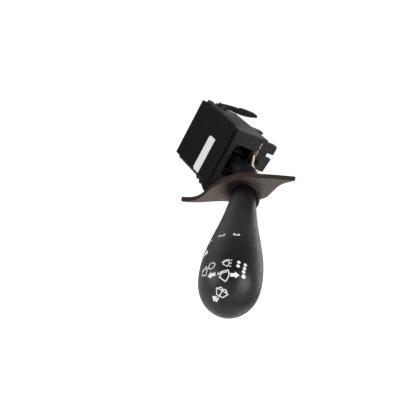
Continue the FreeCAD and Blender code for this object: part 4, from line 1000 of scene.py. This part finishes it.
class STALK_OT_leads(bpy.types.Operator):
    """Cream lead at the ear and the thin leads inside the lever."""

    bl_idname = "stalk.leads"
    bl_label = "Leads"

    def execute(self, context):
        insulation = insulation_material("lead_insulation", context.scene.stalk_finish.lead)
        dress(insulation, "cream_lead", "lever_leads")
        return {"FINISHED"}


class STALK_OT_lever(bpy.types.Operator):
    """Stem in housing plastic; shell, ring and cap in satin plastic with painted shade at the pad, where its
    gloss is lowered.
    """

    bl_idname = "stalk.lever"
    bl_label = "Lever"

    def execute(self, context):
        finish = context.scene.stalk_finish
        # Painted shade: the shell, ring and cap lose gloss near the pad
        satin = moulded_plastic("lever_plastic", finish.lever, roughness=0.4, grain=0.2, depth=0.006,
                                gloss_shade=(pad_frame()[0], *NECK_SHADE_REACH))
        stem = moulded_plastic("stem_plastic", finish.housing, roughness=0.45, grain=0.2, depth=0.012,
                               gloss=0.3)
        dress(satin, "lever_shell", "delay_ring", "end_cap")
        dress(stem, "lever_core")
        return {"FINISHED"}


# Printed symbols

# Places along the lever from its elbow, half grids, angles round it in degrees, and the digits' wider line
DIGIT_AT = 70.3
DIGIT_REACH = 2.4
DIGIT_LINE = 1.25
DIGIT_ANGLES = {1: -60.0, 2: -31.0, 3: -2.0}
MARKER_AT = 78.4
MARKER_REACH = 2.9
MARKER_ANGLE = -61.5
MARKER = ((-2.4, 0.0), (2.0, 1.9), (2.0, -1.9))


def cap_symbols(line):
    """Marks, half grid, place along the lever and angle round it of each symbol on the end cap."""
    arrow = arrow_marks(length=4.0, width=3.1, shaft=1.6)
    pull_arrow = arrow_marks(length=3.2, width=3.2, shaft=1.65)
    off = stroke(arc_points(0, 0, 1.6, 0, 360, 40), line)
    return {
        "symbol_wiper": (turn_marks(wiper_marks(line), -12), 4.2, 97.0, -16.0),
        "symbol_interval": (turn_marks(interval_marks(line * 0.85), -4), 3.2, 91.1, -13.0),
        "symbol_mist": (turn_marks(mist_marks(line), -10), 3.2, 92.0, -59.0),
        "symbol_off": ([off], 2.2, 91.2, -40.0),
        "symbol_washer": (turn_marks(washer_marks(line), 52), 3.6, 103.1, -25.0),
        "arrow_down": (turn_marks(arrow, 173), 2.6, 95.9, -41.5),
        "arrow_up": (turn_marks(arrow, 13), 2.6, 96.5, 7.5),
        "arrow_pull": (turn_marks(pull_arrow, 110), 2.6, 103.7, -54.0),
        "dots_low": (low_dots(), 2.4, 90.9, 9.9),
        "dots_high": (high_dots(), 4.4, 92.8, 22.4),
    }


class STALK_OT_symbols(bpy.types.Operator):
    """Printed digits, ring marker and the generic wiper and washer symbols."""

    bl_idname = "stalk.symbols"
    bl_label = "Printed symbols"

    def execute(self, context):
        settings = context.scene.stalk_print
        line = settings.line / MM
        height = settings.digit_height / MM
        for digit, azimuth in DIGIT_ANGLES.items():
            marks = digit_marks(digit, height, line * DIGIT_LINE)
            print_on_lever(f"digit_{digit}", marks, DIGIT_REACH, DIGIT_AT, azimuth, "lever_shell", "lever")
        print_on_lever("ring_marker", [filled(MARKER)], MARKER_REACH, MARKER_AT, MARKER_ANGLE,
                       "delay_ring", "ring")
        for name, (marks, reach, at, azimuth) in cap_symbols(line).items():
            print_on_lever(name, marks, reach, at, azimuth, "end_cap", "lever")
        return {"FINISHED"}


# Stage, in metres

NEAREST_SEEN = 0.01
FLOOR_BELOW = 0.06
FLOOR_HALF = 1.2

# Painted pool of light: the floor is palest in a pool in front of the lever's end
POOL_AHEAD = 0.10
POOL_ASIDE = 0.045
POOL_REACH = (0.15, 0.42)
POOL_LIGHT = (0.95, 0.95, 0.95)
POOL_SHADE = (0.3, 0.3, 0.3)

# In gloss the surroundings change to the ceiling between these heights and glow in front of the lever
CEILING_EDGE = (0.3, 0.75)
FRONT_WAY = (0.8, -0.45, -0.4)
FRONT_EDGE = (0.2, 0.95)

# Each lamp's direction from the object's middle and its diameter
LAMP_DISTANCE = 0.6
LAMPS = {
    "top": ((0.64, 0.25, 0.73), 0.44),
    "side": ((-0.40, -0.91, -0.03), 0.50),
    "rim": ((-0.30, 0.94, 0.10), 0.40),
}


class STALK_OT_stage(bpy.types.Operator):
    """Pale floor, white surroundings, three soft lamps and the camera."""

    bl_idname = "stalk.stage"
    bl_label = "Stage"

    def execute(self, context):
        scene = context.scene
        settings = scene.stalk_stage
        scene.view_settings.view_transform = "Standard"
        low, high = CAD_BOX
        middle = (low + high) / 2
        self.make_world(scene, settings)
        self.make_floor(scene, settings, low.z - FLOOR_BELOW, middle)
        for name, (direction, size) in LAMPS.items():
            power = getattr(settings, f"{name}_power")
            self.add_lamp(scene, f"{name}_lamp", middle, Vector(direction), size, power)
        camera = bpy.data.cameras.new("camera")
        camera.lens = settings.lens
        camera.clip_start = NEAREST_SEEN
        viewer = bpy.data.objects.new("camera", camera)
        viewer.location = settings.place
        viewer.rotation_euler = settings.turn
        scene.collection.objects.link(viewer)
        scene.camera = viewer
        return {"FINISHED"}

    def make_world(self, scene, settings):
        """White surroundings, plain for the camera and in diffuse light and graded in gloss."""
        world = bpy.data.worlds.new("white_surroundings")
        world.use_nodes = True
        scene.world = world
        nodes = Nodes(world.node_tree)
        direction = nodes.add("ShaderNodeTexCoord").outputs["Generated"]
        ceiling = nodes.spread(nodes.dot(direction, UPWARD), settings.mirrored, settings.overhead,
                               *CEILING_EDGE)
        front = nodes.spread(nodes.dot(direction, FRONT_WAY), 0.0, settings.front, *FRONT_EDGE)
        rays = nodes.add("ShaderNodeLightPath").outputs
        gloss = nodes.calculated("ADD", ceiling, front)
        light = nodes.mixed(rays["Is Glossy Ray"], settings.ambient, gloss)
        backdrop = nodes.tree.nodes["Background"]
        nodes.feed(backdrop.inputs["Color"], (1, 1, 1))
        nodes.feed(backdrop.inputs["Strength"], nodes.mixed(rays["Is Camera Ray"], light, 1.0))

    def make_floor(self, scene, settings, height, middle):
        """A matte floor that takes the shadow, carries a painted pool of light in front of the lever, and
        glows a little for the camera alone.
        """
        nodes = Surface("pale_floor")
        # Painted pool of light: pale near a point ahead of the lever, darker away from it
        dimmer = nodes.nearness((middle.x + POOL_AHEAD, middle.y - POOL_ASIDE, height), *POOL_REACH)
        material = nodes.finish(nodes.blend(dimmer, POOL_LIGHT, POOL_SHADE), roughness=0.9, gloss=0.1)
        rays = nodes.add("ShaderNodeLightPath").outputs
        strength = nodes.calculated("MULTIPLY", rays["Is Camera Ray"], settings.floor_white)
        glow = nodes.add("ShaderNodeEmission", {"Color": (1, 1, 1), "Strength": strength})
        shaders = {0: nodes.shader.outputs["BSDF"], 1: glow.outputs["Emission"]}
        both = nodes.add("ShaderNodeAddShader", shaders)
        nodes.feed(nodes.tree.nodes["Material Output"].inputs["Surface"], both.outputs["Shader"])
        corners = [(middle.x + x * FLOOR_HALF, middle.y + y * FLOOR_HALF, height)
                   for x, y in ((-1, -1), (1, -1), (1, 1), (-1, 1))]
        mesh = add_mesh("floor", corners, [(0, 1, 2, 3)], [material], smooth=False)
        floor = bpy.data.objects.new("floor", mesh)
        scene.collection.objects.link(floor)

    def add_lamp(self, scene, name, target, direction, size, power):
        """A round soft lamp that points at the target."""
        light = bpy.data.lights.new(name, "AREA")
        light.shape = "DISK"
        light.size = size
        light.energy = power
        lamp = bpy.data.objects.new(name, light)
        lamp.location = target + direction.normalized() * LAMP_DISTANCE
        lamp.rotation_euler = (-direction).to_track_quat("-Z", "Y").to_euler()
        scene.collection.objects.link(lamp)


# Add-on

OPERATORS = (STALK_OT_stage, STALK_OT_housing, STALK_OT_latch, STALK_OT_mechanism, STALK_OT_return_spring,
             STALK_OT_leads, STALK_OT_lever, STALK_OT_symbols, STALK_OT_foam_pad)


class STALK_PT_panel(bpy.types.Panel):
    """Lists the steps and the settings."""

    bl_idname = "STALK_PT_panel"
    bl_label = "Stalk Switch"
    bl_space_type = "VIEW_3D"
    bl_region_type = "UI"
    bl_category = "Stalk Switch"

    def draw(self, context):
        for operator in OPERATORS:
            self.layout.operator(operator.bl_idname)
        for holder in SETTINGS:
            group = getattr(context.scene, holder)
            box = self.layout.box()
            for name in group.bl_rna.properties.keys():
                if name not in {"rna_type", "name"}:
                    box.prop(group, name)


def register():
    for group in (*SETTINGS.values(), *OPERATORS, STALK_PT_panel):
        bpy.utils.register_class(group)
    for name, group in SETTINGS.items():
        setattr(bpy.types.Scene, name, PointerProperty(type=group))


def unregister():
    for name in SETTINGS:
        delattr(bpy.types.Scene, name)
    for group in reversed((*SETTINGS.values(), *OPERATORS, STALK_PT_panel)):
        bpy.utils.unregister_class(group)


def main():
    register()
    for operator in OPERATORS:
        group, name = operator.bl_idname.split(".")
        getattr(getattr(bpy.ops, group), name)()


if __name__ == "__main__":
    main()
